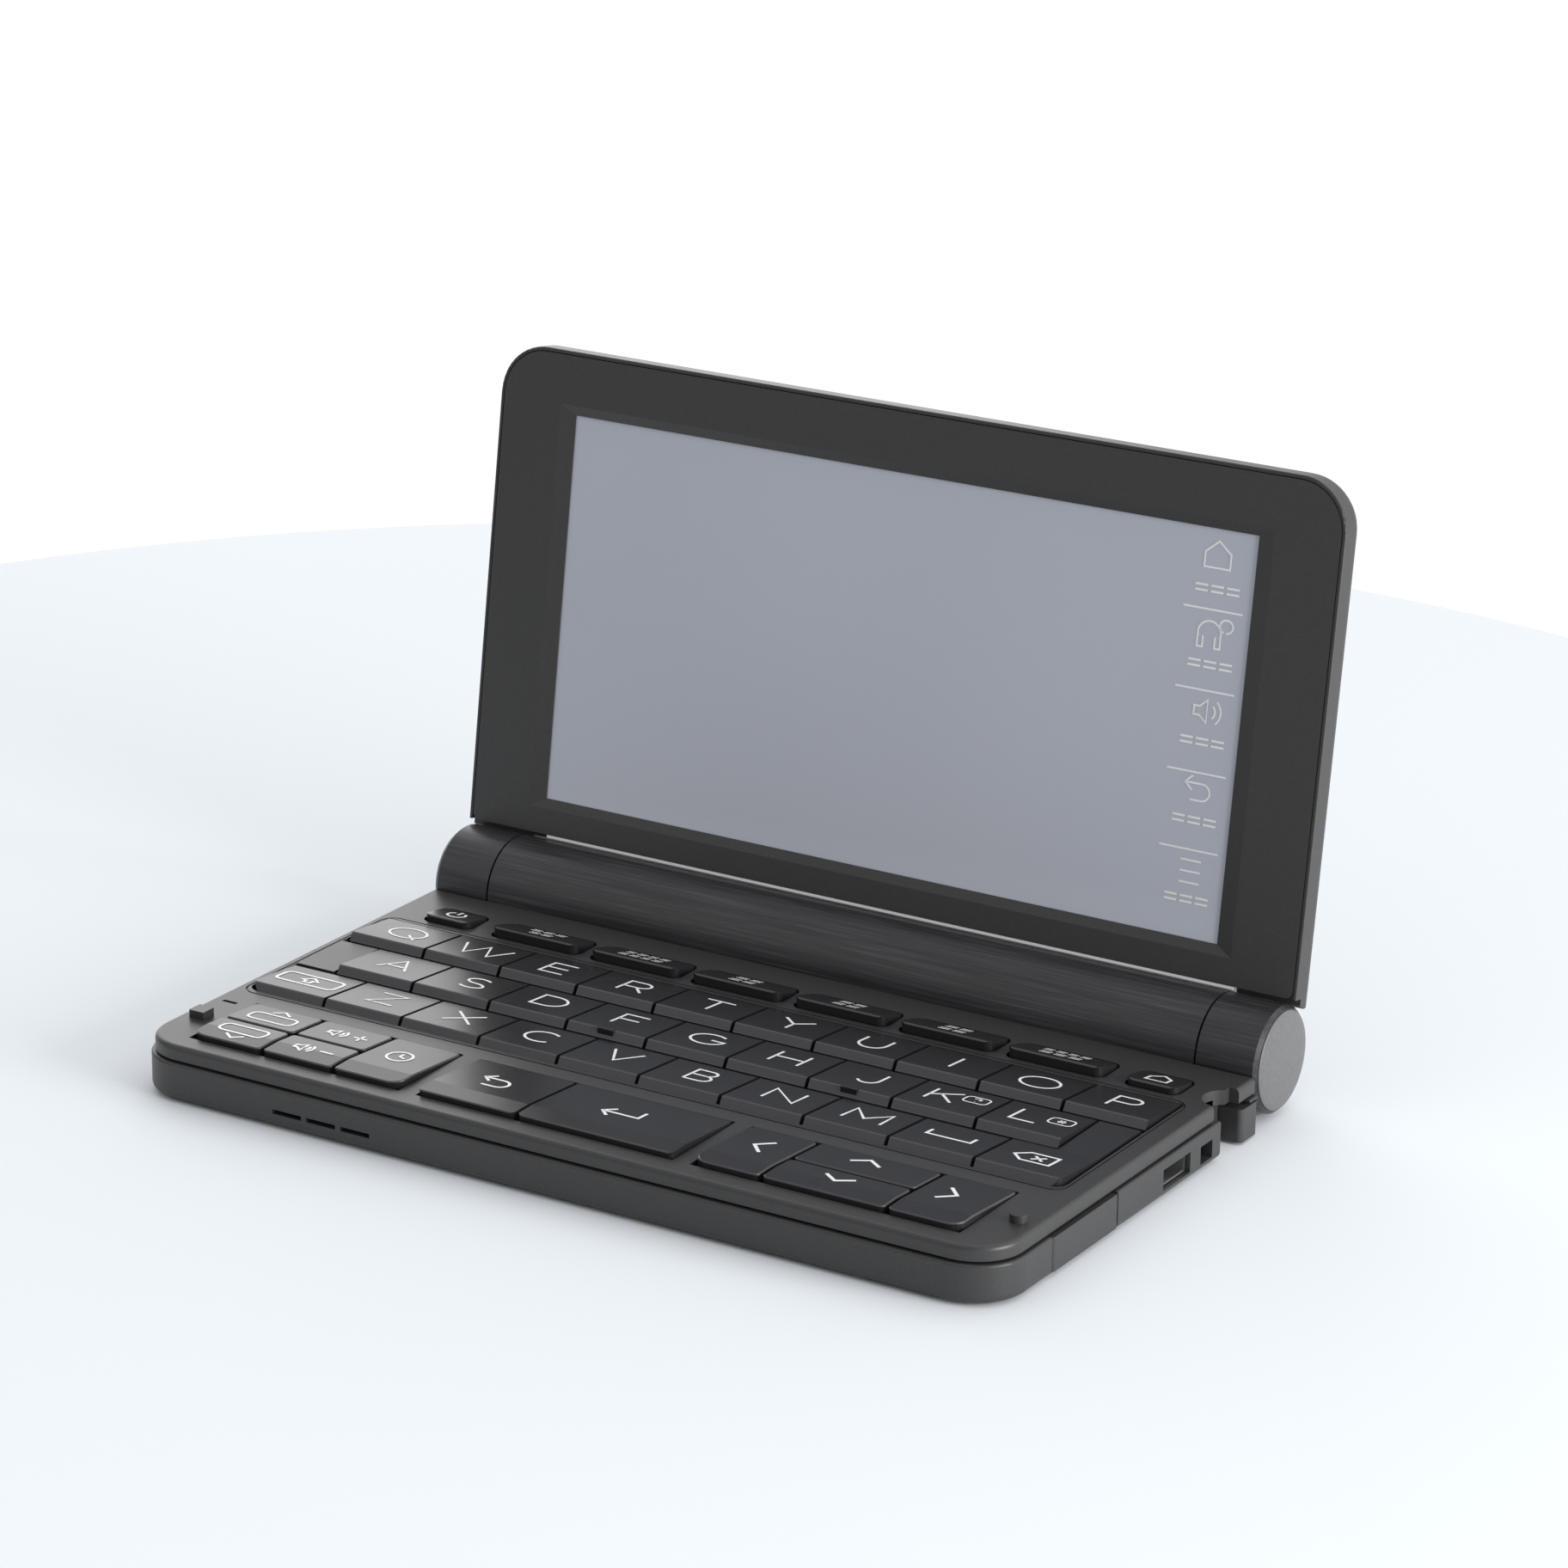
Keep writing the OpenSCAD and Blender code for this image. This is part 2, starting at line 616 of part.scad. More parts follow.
module top_case() {
    skirt_z = rim_z + 0.3;
    color(deck_colour) placed() difference() {
        union() {
            translate([0, 0, deck_z]) mirror([0, 0, 1])
                slab(deck_half_w, -deck_reach, corner_r, deck_z - skirt_z, corner_r - deck_inset, deck_fillet, 0.1);
            // Bumpers that meet the closed lid: round at the right, square at the left
            translate([bumper_spot[0], bumper_spot[1], deck_z - 0.2])
                cylinder(h = bumper_h + 0.2, r = bumper_r, $fn = 32);
            translate([-bumper_spot[0] - bumper_r, bumper_spot[1] - bumper_r, deck_z - 0.2])
                cube([2 * bumper_r, 2 * bumper_r, bumper_h + 0.2]);
        }
        // Hollow under the deck
        translate([0, 0, skirt_z - cut])
            plate(deck_half_w - 1.4, 1.4 - deck_reach, hollow_back_y, deck_under_z - skirt_z + cut, corner_r - 2);
        barrel_space();
        // One opening for each row of letters, and one for each other key
        for (row = [0:1])
            key_opening([
                row == 1 ? row_lefts[1] : letter_left, row_front(row), letters_right, row_front(row) + row_depth(row)
            ]);
        translate([0, 0, deck_under_z - cut]) linear_extrude(deck_t + 2 * cut)
            front_round_rect(grown([letter_left, row_front(2), letters_right, row_front(2) + letter_d], key_gap),
                field_corner);
        key_opening([delete_back_left + key_slit / 2, row_front(2) + letter_d - 1, letters_right, row_front(1) + 1]);
        // The webs between the letter rows lie lower than the deck
        for (row = [0:1])
            block([letter_left - key_gap, row_front(row + 1) + letter_d, deck_z - web_drop],
                [letters_right + key_gap, row_front(row), deck_z + cut]);
        for (i = [0:dictionary_count - 1])
            function_opening(dictionary_rect(i));
        function_opening(power_rect);
        function_opening(home_rect);
        key_opening([page_x[0], front_row_front, page_x[3], front_back]);
        key_opening([enter_x[0], front_row_front, enter_x[2], front_back]);
        key_opening([arrow_x[0], front_row_front, arrow_x[3], front_back]);
        translate([0, 0, deck_z - 0.2]) linear_extrude(cut) letter_groove();
        // Small lamp slot beside the left bumper
        translate([lamp_spot[0] - lamp_size[0] / 2, lamp_spot[1] - lamp_size[1] / 2, deck_z - 0.6])
            cube([lamp_size[0], lamp_size[1], 2 * cut]);
        // Finger scoop in front of the stylus corner, and a passage for the stylus head below it
        translate([deck_half_w, notch_front_y + 2.2, skirt_z - cut])
            cylinder(h = deck_z, r = notch_depth - deck_inset + 0.2);
        block([deck_half_w - 1.6, notch_front_y + 2, skirt_z - cut], [half_w, stylus_y - stylus_head_w / 2, deck_z + cut]);
    }
}

module battery_barrel() {
    color(case_colour) placed() translate([0, 0, axis_z]) difference() {
        x_rod(-barrel_x, barrel_x, barrel_r);
        // Battery chamber, open to the rear
        rotate([cover_turn, 0, 0]) translate([-chamber_half, 0, 0]) rotate([90, 0, 90])
            linear_extrude(2 * chamber_half) {
                circle(chamber_r);
                translate([0, -opening_half]) square([barrel_r + cut, 2 * opening_half]);
            }
        // Bores for the hinge pins
        for (side = [-1, 1])
            mirror([side < 0 ? 1 : 0, 0, 0]) x_rod(barrel_x - pin_seat, barrel_x + cut, pin_bore);
    }
}

module battery_cover() {
    cover_half = chamber_half - cover_gap;
    cover_half_h = opening_half - cover_gap;
    color(case_colour) placed() translate([0, 0, axis_z]) rotate([cover_turn, 0, 0]) difference() {
        intersection() {
            x_rod(-cover_half, cover_half, barrel_r);
            block([-chamber_half, 1.2, -cover_half_h], [chamber_half, barrel_r + cut, cover_half_h]);
        }
        x_rod(-chamber_half - cut, chamber_half + cut, chamber_r);
        // Grip grooves at the middle of the cover
        for (i = [-3:3])
            translate([i * 2.2 - 0.5, barrel_r - 0.35, -2.5]) cube([1, cut, 5]);
    }
}

module battery_cells() {
    color(cell_colour) placed() translate([0, 0, axis_z])
        for (side = [-1, 1])
            translate([side * cell_l / 2, 0, 0]) {
                x_rod(-cell_l / 2, cell_l / 2 - 1, cell_r);
                x_rod(cell_l / 2 - 1.2, cell_l / 2 - fit_gap, 2.7);
            }
}

module battery_contacts() {
    color(metal_colour) placed() translate([0, 0, axis_z])
        for (side = [-1, 1])
            mirror([side < 0 ? 1 : 0, 0, 0]) {
                x_rod(chamber_half - 0.5, chamber_half, 5.5);
                x_rod(cell_l + fit_gap, chamber_half - 0.4, 2);
            }
}

module main_board() {
    color(board_colour) placed() difference() {
        union() {
            block([board_low[0], board_low[1], board_z], [board_high[0], board_high[1], board_z + board_t]);
            // The chips on the underside
            for (c = chips)
                block([c[0], c[1], board_z - c[4]], [c[0] + c[2], c[1] + c[3], board_z + 0.1]);
        }
        // The corner beside the speaker and the card socket's bay are cut away
        translate([speaker_spot[0], speaker_spot[1], board_z - cut])
            cylinder(h = 2 * cut + board_t, r = speaker_r + speaker_gap);
        block([speaker_spot[0] - speaker_bay, board_low[1] - cut, board_z - cut],
            [speaker_spot[0] + speaker_bay, speaker_spot[1], board_z + 2 * cut + board_t]);
    }
}

module key_sheet() {
    sheet_z = board_z + board_t;
    dome_h = dome_top_z - sheet_z;
    color(rubber_colour) placed() {
        difference() {
            block([board_low[0], board_low[1], sheet_z], [board_high[0], board_high[1], sheet_z + sheet_t]);
            translate([speaker_spot[0], speaker_spot[1], sheet_z - cut])
                cylinder(h = 3 * cut, r = speaker_r + speaker_gap);
            block([speaker_spot[0] - speaker_bay, board_low[1] - cut, sheet_z - cut],
                [speaker_spot[0] + speaker_bay, speaker_spot[1], sheet_z + 2 * cut]);
        }
        // One switch dome under every letter that lies over the board
        for (row = [0:2])
            for (i = [0:len(letter_rows[row]) - 1]) {
                x = row_lefts[row] + (i + 0.5) * pitch_x;
                if (x > board_low[0] + dome_r && x < board_high[0] - dome_r)
                    translate([x, row_front(row) + letter_d / 2, sheet_z])
                        cylinder(h = dome_h, r = dome_r, $fn = 20);
            }
    }
}

module speaker() {
    color(metal_colour) placed() translate([speaker_spot[0], speaker_spot[1], floor_z + fit_gap]) {
        cylinder(h = speaker_h, r = speaker_r);
        cylinder(h = speaker_h + 0.6, r = speaker_r - 2.5);
    }
}

module usb_socket() {
    shell_w = usb_w - 0.7;
    shell_h = usb_h - 0.5;
    color(metal_colour) placed() difference() {
        block([half_w - case_wall - usb_depth, usb_y - shell_w / 2, usb_z - shell_h / 2],
            [half_w - 0.7, usb_y + shell_w / 2, usb_z + shell_h / 2]);
        difference() {
            block([half_w - case_wall - usb_depth + 1, usb_y - shell_w / 2 + 0.3, usb_z - shell_h / 2 + 0.3],
                [half_w, usb_y + shell_w / 2 - 0.3, usb_z + shell_h / 2 - 0.3]);
            block([half_w - case_wall - usb_depth, usb_y - shell_w / 2 + 1.5, usb_z + 0.05],
                [half_w - 2, usb_y + shell_w / 2 - 1.5, usb_z + 0.65]);
        }
    }
}

module earphone_jack() {
    body_x = -half_w + case_wall + fit_gap;
    color(rubber_colour) placed() translate([0, jack_y, jack_z]) difference() {
        union() {
            x_rod(-half_w + 0.3, body_x + 0.2, jack_nose_r);
            block([body_x, -jack_body_w / 2, -jack_body_h / 2],
                [-half_w + jack_l + 1.3, jack_body_w / 2, jack_body_h / 2]);
        }
        x_rod(-half_w, -half_w + 0.3 + jack_l, jack_r);
    }
}

module card_socket() {
    color(metal_colour) placed() difference() {
        block([half_w - case_wall - 14, door_front_y + 4, floor_z + fit_gap],
            [half_w - case_wall - 1.2, door_front_y + 16.4, board_z - 0.1]);
        block([half_w - case_wall - 12.5, door_front_y + 5, floor_z + 0.4],
            [half_w, door_front_y + 15.4, board_z - 0.4]);
    }
}

module card_door() {
    door_mid_x = half_w - door_t / 2;
    low_z = bottom_z + 0.5;
    color(case_colour) placed() {
        block([half_w - door_t, door_front_y + door_t / 2, low_z],
            [half_w, door_front_y + door_l, low_z + door_h]);
        translate([door_mid_x, door_front_y + door_t / 2, low_z]) cylinder(h = door_h, r = door_t / 2);
        // Catch that springs behind the wall
        block([half_w - door_t - 0.8, door_front_y + door_l - 3.4, low_z + 1.9],
            [half_w - door_t + 0.1, door_front_y + door_l - 2.2, low_z + 3.1]);
    }
}

module rubber_feet() {
    color(rubber_colour) placed()
        for (p = foot_spots)
            translate([p[0], p[1], 0]) {
                cylinder(h = foot_proud + foot_seat - 0.05, r = foot_r);
            }
}

module case_screws() {
    color(metal_colour) placed()
        for (p = boss_spots)
            translate([p[0], p[1], bottom_z + 0.2]) difference() {
                union() {
                    cylinder(h = screw_head_h, r = screw_head_r, $fn = 32);
                    cylinder(h = rim_z - bottom_z - 1.8, r = screw_r, $fn = 32);
                }
                for (a = [0, 90])
                    rotate([0, 0, a]) translate([-1, -0.2, -cut]) cube([2, 0.4, cut + 0.45]);
            }
}

module stylus() {
    tip_x = half_w - stylus_l;
    head_x = half_w - stylus_head_l;
    color(case_colour) placed() translate([0, stylus_y, stylus_z]) {
        translate([half_w - stylus_head_l, 0, -stylus_head_h / 2])
            linear_extrude(stylus_head_h)
                round_rect([0, -stylus_head_w / 2, stylus_head_l, stylus_head_w / 2], 0.8);
        x_rod(tip_x + stylus_tip_l, head_x + 0.5, stylus_r);
        translate([tip_x + stylus_tip_l + 0.1, 0, 0]) rotate([0, -90, 0])
            cylinder(h = stylus_tip_l - 0.6, r1 = stylus_r - 0.2, r2 = 0.7);
        translate([tip_x + 0.7, 0, 0]) sphere(r = 0.7, $fn = 24);
    }
}

// ---- Lid, in its own frame: x across, y back from the hinge axis, z up along the lid ----

// Space that the battery barrel and the barrel ends take from the lid
module lid_barrel_space() {
    x_rod(-half_w - cut, half_w + cut, barrel_r + fit_gap);
    x_rod(-barrel_x - move_gap, barrel_x + move_gap, barrel_r + move_gap);
}

module lid_shell() {
    rim_half = half_w - rim_w;
    ledge = lid_setback + bezel_t + fit_gap;
    color(case_colour) on_lid() difference() {
        translate([0, lid_back, 0]) rotate([90, 0, 0])
            slab(half_w, lid_low - corner_r, lid_reach, lid_t, corner_r, lid_fillet, 0.25);
        // Everything below the lid's lower edge, and the recess below the bezel
        block([-half_w - cut, 0, -corner_r], [half_w + cut, lid_back + cut, lid_low]);
        block([-half_w - cut, 0, 0], [half_w + cut, lid_setback + lid_recess, bezel_low - 0.05]);
        // Seat of the bezel, and the hollow for the display behind it
        translate([0, ledge, 0]) rotate([90, 0, 0])
            plate(rim_half, lid_low - corner_r, lid_reach - rim_w, bezel_t + 2 * cut, corner_r - rim_w);
        translate([0, lid_back - lid_wall, 0]) rotate([90, 0, 0])
            plate(half_w - 3, 11.4, lid_reach - 3, lid_t, corner_r - 3);
        lid_barrel_space();
    }
}

module lid_bezel() {
    outer_half = half_w - rim_w - 0.15;
    high = screen_low + screen_h;
    color(deck_colour) on_lid() difference() {
        translate([0, lid_setback + bezel_t, 0]) rotate([90, 0, 0])
            plate(outer_half, bezel_low, lid_reach - rim_w - 0.15, bezel_t, 1.2);
        // Round upper corners that follow the shell
        for (side = [-1, 1])
            mirror([side < 0 ? 1 : 0, 0, 0]) bezel_corner_cut(outer_half);
        // Sloping frame around the screen
        intersection() {
            rotate([90, 0, 90]) translate([0, 0, -half_w]) linear_extrude(body_w) polygon([
                [lid_setback - 0.1, screen_low - slope_end], [lid_setback, screen_low - slope_end],
                [lid_setback + bezel_t - 0.2, screen_low], [lid_back, screen_low], [lid_back, high],
                [lid_setback + bezel_t - 0.2, high], [lid_setback, high + slope_end],
                [lid_setback - 0.1, high + slope_end]
            ]);
            linear_extrude(lid_reach) polygon([
                [-screen_w / 2 - slope_side, lid_setback - 0.1], [-screen_w / 2 - slope_side, lid_setback],
                [-screen_w / 2, lid_setback + bezel_t - 0.2], [-screen_w / 2, lid_back],
                [screen_w / 2, lid_back], [screen_w / 2, lid_setback + bezel_t - 0.2],
                [screen_w / 2 + slope_side, lid_setback], [screen_w / 2 + slope_side, lid_setback - 0.1]
            ]);
        }
        lid_barrel_space();
    }
}

// What a round upper corner of the bezel leaves off the right one
module bezel_corner_cut(outer_half) {
    r = corner_r - rim_w - 0.15;
    top = lid_reach - rim_w - 0.15;
    translate([0, lid_back, 0]) rotate([90, 0, 0]) difference() {
        translate([outer_half - r, top - r, 0]) cube([r + cut, r + cut, lid_t + cut]);
        translate([outer_half - r, top - r, -cut]) cylinder(h = lid_t + 3 * cut, r = r);
    }
}

// Light strip in the recess below the bezel
module hinge_trim() {
    color(cap_colour) on_lid() difference() {
        block([trim_left, lid_setback + bezel_t + 0.1, lid_low + 0.4],
            [trim_right, lid_setback + lid_recess, bezel_low - 0.1]);
        lid_barrel_space();
    }
}

module touch_panel() {
    color(screen_colour) on_lid()
        block([-screen_w / 2 - 1.6, lid_setback + bezel_t + fit_gap / 2, screen_low - 1.2],
            [screen_w / 2 + 1.6, lid_setback + bezel_t + 0.75, screen_low + screen_h + 1.2]);
}

module display_panel() {
    color(metal_colour) on_lid()
        block([-screen_w / 2 - 2.2, lid_setback + bezel_t + 0.8, screen_low - 2],
            [screen_w / 2 + 2.2, lid_back - lid_wall - fit_gap, screen_low + screen_h + 2]);
}

module barrel_ends() {
    color(case_colour) on_lid()
        for (side = [-1, 1])
            mirror([side < 0 ? 1 : 0, 0, 0]) difference() {
                union() {
                    x_rod(barrel_x + move_gap, end_x - 0.6, barrel_r);
                    translate([end_x - 0.6, 0, 0]) rotate([0, 90, 0])
                        cylinder(h = 0.6, r1 = barrel_r, r2 = barrel_r - 0.5);
                }
                x_rod(barrel_x - cut, pin_end, pin_r);
                x_rod(end_x - 0.8, end_x + cut, cap_r + fit_gap / 2);
            }
}

module end_caps() {
    color(cap_colour) on_lid()
        for (side = [-1, 1])
            mirror([side < 0 ? 1 : 0, 0, 0]) {
                translate([end_x - 0.75, 0, 0]) rotate([0, 90, 0]) rotate_extrude()
                    polygon(concat([[0, 0], [cap_r, 0]],
                        [for (i = [0:6]) let (a = i * 15) [cap_r * cos(a), 0.9 + cap_dome * sin(a)]]));
            }
}

module hinge_pins() {
    color(metal_colour) on_lid()
        for (side = [-1, 1])
            mirror([side < 0 ? 1 : 0, 0, 0]) x_rod(barrel_x - pin_seat + 0.5, pin_end, pin_r);
}

// ---- Drawing ----

bottom_case();
top_case();
battery_barrel();
battery_cells();
battery_contacts();
main_board();
key_sheet();
speaker();
usb_socket();
earphone_jack();
card_socket();
rubber_feet();
case_screws();
battery_cover();
card_door();
stylus();
lid_shell();
lid_bezel();
hinge_trim();
touch_panel();
display_panel();
barrel_ends();
end_caps();
hinge_pins();
color(key_colour) placed() function_key(power_rect);  // power_key
color(key_colour) placed() function_key(home_rect);  // home_key
color(key_colour) placed() shift_key();
color(key_colour) placed() letter_key(space_rect);  // space_key
color(key_colour) placed() delete_key();
color(key_colour) placed() front_key(back_rect);  // back_key
color(key_colour) placed() front_key(enter_rect);  // enter_key
color(key_colour) placed() for (i = [0:dictionary_count - 1]) function_key(dictionary_rect(i), dictionary_rise);  // dictionary_keys
color(key_colour) placed() for (r = page_volume_rects) front_key(r);  // page_volume_keys
color(key_colour) placed() for (r = arrow_rects) front_key(r);  // arrow_keys
for (row = [0:2])
    for (i = [0:len(letter_rows[row]) - 1])
        color(key_colour) placed() {
                letter_key(letter_rect(row, i));
                if (len(search(letter_rows[row][i], homing_keys)) > 0) homing_bar(letter_rect(row, i));
            }
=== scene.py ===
import math

import bmesh
import bpy
from mathutils import Matrix, Vector


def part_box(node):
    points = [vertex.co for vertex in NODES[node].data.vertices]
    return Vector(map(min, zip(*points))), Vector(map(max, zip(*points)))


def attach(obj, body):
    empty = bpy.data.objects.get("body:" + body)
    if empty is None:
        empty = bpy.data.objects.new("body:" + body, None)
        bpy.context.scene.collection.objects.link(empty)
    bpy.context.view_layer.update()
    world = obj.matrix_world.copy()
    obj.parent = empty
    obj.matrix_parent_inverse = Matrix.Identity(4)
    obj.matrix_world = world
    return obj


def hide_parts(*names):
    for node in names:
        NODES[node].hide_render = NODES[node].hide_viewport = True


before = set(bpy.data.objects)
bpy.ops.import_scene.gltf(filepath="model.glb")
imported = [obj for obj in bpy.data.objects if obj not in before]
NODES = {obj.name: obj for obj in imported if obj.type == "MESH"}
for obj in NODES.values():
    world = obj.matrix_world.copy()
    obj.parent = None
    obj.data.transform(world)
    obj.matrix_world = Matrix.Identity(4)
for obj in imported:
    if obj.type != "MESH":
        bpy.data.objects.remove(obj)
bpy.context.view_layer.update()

MM = 0.001

# Main sizes of the part, in millimetres, as in its source
HINGE_Y = 33.37573
AXIS_Z = 8.9
DECK_Z = 8.9
LEAN = math.radians(8.1)
LID_SETBACK = 1.4
BEZEL_T = 0.7
PANEL_GAP = 0.05

# Print stands this far off what carries it, so that it isn't lost in the surface
PRINT_LIFT = 0.05


# ---- Materials ----

def new_material(name):
    """Empty material with its nodes and links."""
    m = bpy.data.materials.new(name)
    m.use_nodes = True
    m.node_tree.nodes.clear()
    return m, m.node_tree.nodes, m.node_tree.links


def shader(nodes, links, roughness, metallic=0.0, specular=0.5, coat=0.0, coat_roughness=0.1):
    """Principled shader, joined to the material's output."""
    out = nodes.new("ShaderNodeOutputMaterial")
    bsdf = nodes.new("ShaderNodeBsdfPrincipled")
    bsdf.inputs["Roughness"].default_value = roughness
    bsdf.inputs["Metallic"].default_value = metallic
    bsdf.inputs["Specular IOR Level"].default_value = specular
    bsdf.inputs["Coat Weight"].default_value = coat
    bsdf.inputs["Coat Roughness"].default_value = coat_roughness
    links.new(bsdf.outputs["BSDF"], out.inputs["Surface"])
    return bsdf


def noise(nodes, links, scale, detail, stretch=(1, 1, 1)):
    """Noise in the object's own coordinates, stretched along its axes."""
    coord = nodes.new("ShaderNodeTexCoord")
    mapping = nodes.new("ShaderNodeMapping")
    mapping.inputs["Scale"].default_value = stretch
    tex = nodes.new("ShaderNodeTexNoise")
    tex.inputs["Scale"].default_value = scale
    tex.inputs["Detail"].default_value = detail
    tex.inputs["Roughness"].default_value = 0.5
    links.new(coord.outputs["Object"], mapping.inputs["Vector"])
    links.new(mapping.outputs["Vector"], tex.inputs["Vector"])
    return tex


def ramp(nodes, links, source, stops):
    """Colours over a value, as pairs of position and colour in rising order."""
    r = nodes.new("ShaderNodeValToRGB")
    r.color_ramp.elements[0].position = stops[0][0]
    r.color_ramp.elements[0].color = (*stops[0][1], 1)
    r.color_ramp.elements[1].position = stops[-1][0]
    r.color_ramp.elements[1].color = (*stops[-1][1], 1)
    for p, c in stops[1:-1]:
        e = r.color_ramp.elements.new(p)
        e.color = (*c, 1)
    links.new(source, r.inputs["Fac"])
    return r


def bump(nodes, links, source, bsdf, strength, distance):
    b = nodes.new("ShaderNodeBump")
    b.inputs["Strength"].default_value = strength
    b.inputs["Distance"].default_value = distance
    links.new(source, b.inputs["Height"])
    links.new(b.outputs["Normal"], bsdf.inputs["Normal"])


def uneven_gloss(nodes, links, source, bsdf, smoothest, roughest):
    """Roughness that wanders between two values with a noise."""
    gloss = nodes.new("ShaderNodeMapRange")
    gloss.inputs["To Min"].default_value = smoothest
    gloss.inputs["To Max"].default_value = roughest
    links.new(source, gloss.inputs["Value"])
    links.new(gloss.outputs["Result"], bsdf.inputs["Roughness"])


def grey(v, tint=(1, 1, 1)):
    return tuple(v * t for t in tint)


def moulded(name, level, roughness, tint=(1, 0.99, 1.0), grain=2600.0, strength=0.12, spread=0.1,
            specular=0.5):
    """Moulded plastic: fine spark-eroded grain, a little unevenness in tone and gloss."""
    m, nodes, links = new_material(name)
    bsdf = shader(nodes, links, roughness, specular=specular)
    fine = noise(nodes, links, grain, 3.0)
    broad = noise(nodes, links, 45.0, 2.0)
    tone = ramp(nodes, links, fine.outputs["Fac"],
                [(0.3, grey(level * (1 - spread), tint)), (0.7, grey(level * (1 + spread), tint))])
    links.new(tone.outputs["Color"], bsdf.inputs["Base Color"])
    uneven_gloss(nodes, links, broad.outputs["Fac"], bsdf, roughness - 0.05, roughness + 0.05)
    bump(nodes, links, fine.outputs["Fac"], bsdf, strength, 0.00008)
    return m


def key_plastic_with_painted_light(name, level, painted_facet_light):
    """Satin key plastic with painted light: a paler colour on the sloping facets and along the rounded
    edges, where the keys catch the light.
    """
    tint = (1, 0.98, 1.06)
    m = moulded(name, level, 0.28, grain=3200.0, strength=0.05, tint=tint, specular=0.28)
    nodes, links = m.node_tree.nodes, m.node_tree.links
    bsdf = next(n for n in nodes if n.type == "BSDF_PRINCIPLED")
    tone = bsdf.inputs["Base Color"].links[0].from_socket
    coord = nodes.new("ShaderNodeTexCoord")
    parts = nodes.new("ShaderNodeSeparateXYZ")
    links.new(coord.outputs["Normal"], parts.inputs["Vector"])
    black, white = (0, 0, 0), (1, 1, 1)
    # Painted light: faces between flat and upright, the facets and rounded edges, take the paler painted
    # colour
    share = ramp(nodes, links, parts.outputs["Z"],
                 [(0.3, black), (0.45, white), (0.9, white), (0.965, black)])
    mix = nodes.new("ShaderNodeMix")
    mix.data_type = "RGBA"
    links.new(share.outputs["Color"], mix.inputs["Factor"])
    links.new(tone, mix.inputs["A"])
    mix.inputs["B"].default_value = (*grey(painted_facet_light, tint), 1)
    links.new(mix.outputs["Result"], bsdf.inputs["Base Color"])
    return m


def brushed_barrel(name):
    """Satin barrel with fine lines along its length."""
    m, nodes, links = new_material(name)
    bsdf = shader(nodes, links, 0.34, specular=0.55)
    lines = noise(nodes, links, 1.0, 3.0, (60, 2600, 2600))
    tone = ramp(nodes, links, lines.outputs["Fac"],
                [(0.3, (0.016, 0.016, 0.018)), (0.55, (0.03, 0.03, 0.033)), (0.75, (0.06, 0.06, 0.065))])
    links.new(tone.outputs["Color"], bsdf.inputs["Base Color"])
    uneven_gloss(nodes, links, lines.outputs["Fac"], bsdf, 0.28, 0.46)
    bump(nodes, links, lines.outputs["Fac"], bsdf, 0.12, 0.00006)
    return m


def metal(name, level, roughness, tint=(1, 1, 1), stretch=(1, 1, 1)):
    """Bare or plated metal with fine marks of its making."""
    m, nodes, links = new_material(name)
    bsdf = shader(nodes, links, roughness, metallic=1.0)
    lines = noise(nodes, links, 900.0, 3.0, stretch)
    tone = ramp(nodes, links, lines.outputs["Fac"],
                [(0.3, grey(level * 0.88, tint)), (0.7, grey(level * 1.08, tint))])
    links.new(tone.outputs["Color"], bsdf.inputs["Base Color"])
    bump(nodes, links, lines.outputs["Fac"], bsdf, 0.1, 0.00005)
    return m


def touch_screen(name):
    """Unlit display under a touch film: grey-blue, smooth, with a trace of unevenness."""
    m, nodes, links = new_material(name)
    bsdf = shader(nodes, links, 0.22, coat=0.6, coat_roughness=0.06)
    broad = noise(nodes, links, 14.0, 1.0)
    tone = ramp(nodes, links, broad.outputs["Fac"], [(0.3, (0.5, 0.525, 0.6)), (0.7, (0.53, 0.555, 0.63))])
    links.new(tone.outputs["Color"], bsdf.inputs["Base Color"])
    uneven_gloss(nodes, links, broad.outputs["Fac"], bsdf, 0.19, 0.26)
    return m


def circuit_board(name):
    """Green board with paler tracks."""
    m, nodes, links = new_material(name)
    bsdf = shader(nodes, links, 0.4)
    tracks = noise(nodes, links, 420.0, 0.0, (1, 3, 1))
    tone = ramp(nodes, links, tracks.outputs["Fac"],
                [(0.45, (0.012, 0.075, 0.03)), (0.5, (0.03, 0.16, 0.07)), (0.55, (0.012, 0.085, 0.035))])
    links.new(tone.outputs["Color"], bsdf.inputs["Base Color"])
    return m


def print_ink(name, level):
    """Pale ink, slightly uneven."""
    m, nodes, links = new_material(name)
    bsdf = shader(nodes, links, 0.5)
    fine = noise(nodes, links, 3000.0, 2.0)
    tone = ramp(nodes, links, fine.outputs["Fac"], [(0.3, grey(level * 0.95)), (0.7, grey(level * 1.03))])
    links.new(tone.outputs["Color"], bsdf.inputs["Base Color"])
    return m


CASE = moulded("case_plastic_look", 0.036, 0.42)
DECK = moulded("deck_plastic_look", 0.036, 0.4)
BEZEL = moulded("bezel_plastic_look", 0.042, 0.45)
# Keys: the second level is the painted light on their facets and rounded edges
KEY = key_plastic_with_painted_light("key_plastic_look", 0.02, 0.07)
BARREL = brushed_barrel("barrel_look")
GREY = moulded("grey_plastic_look", 0.115, 0.42, grain=2000.0)
TRIM = moulded("trim_look", 0.75, 0.3, grain=2000.0, spread=0.03)
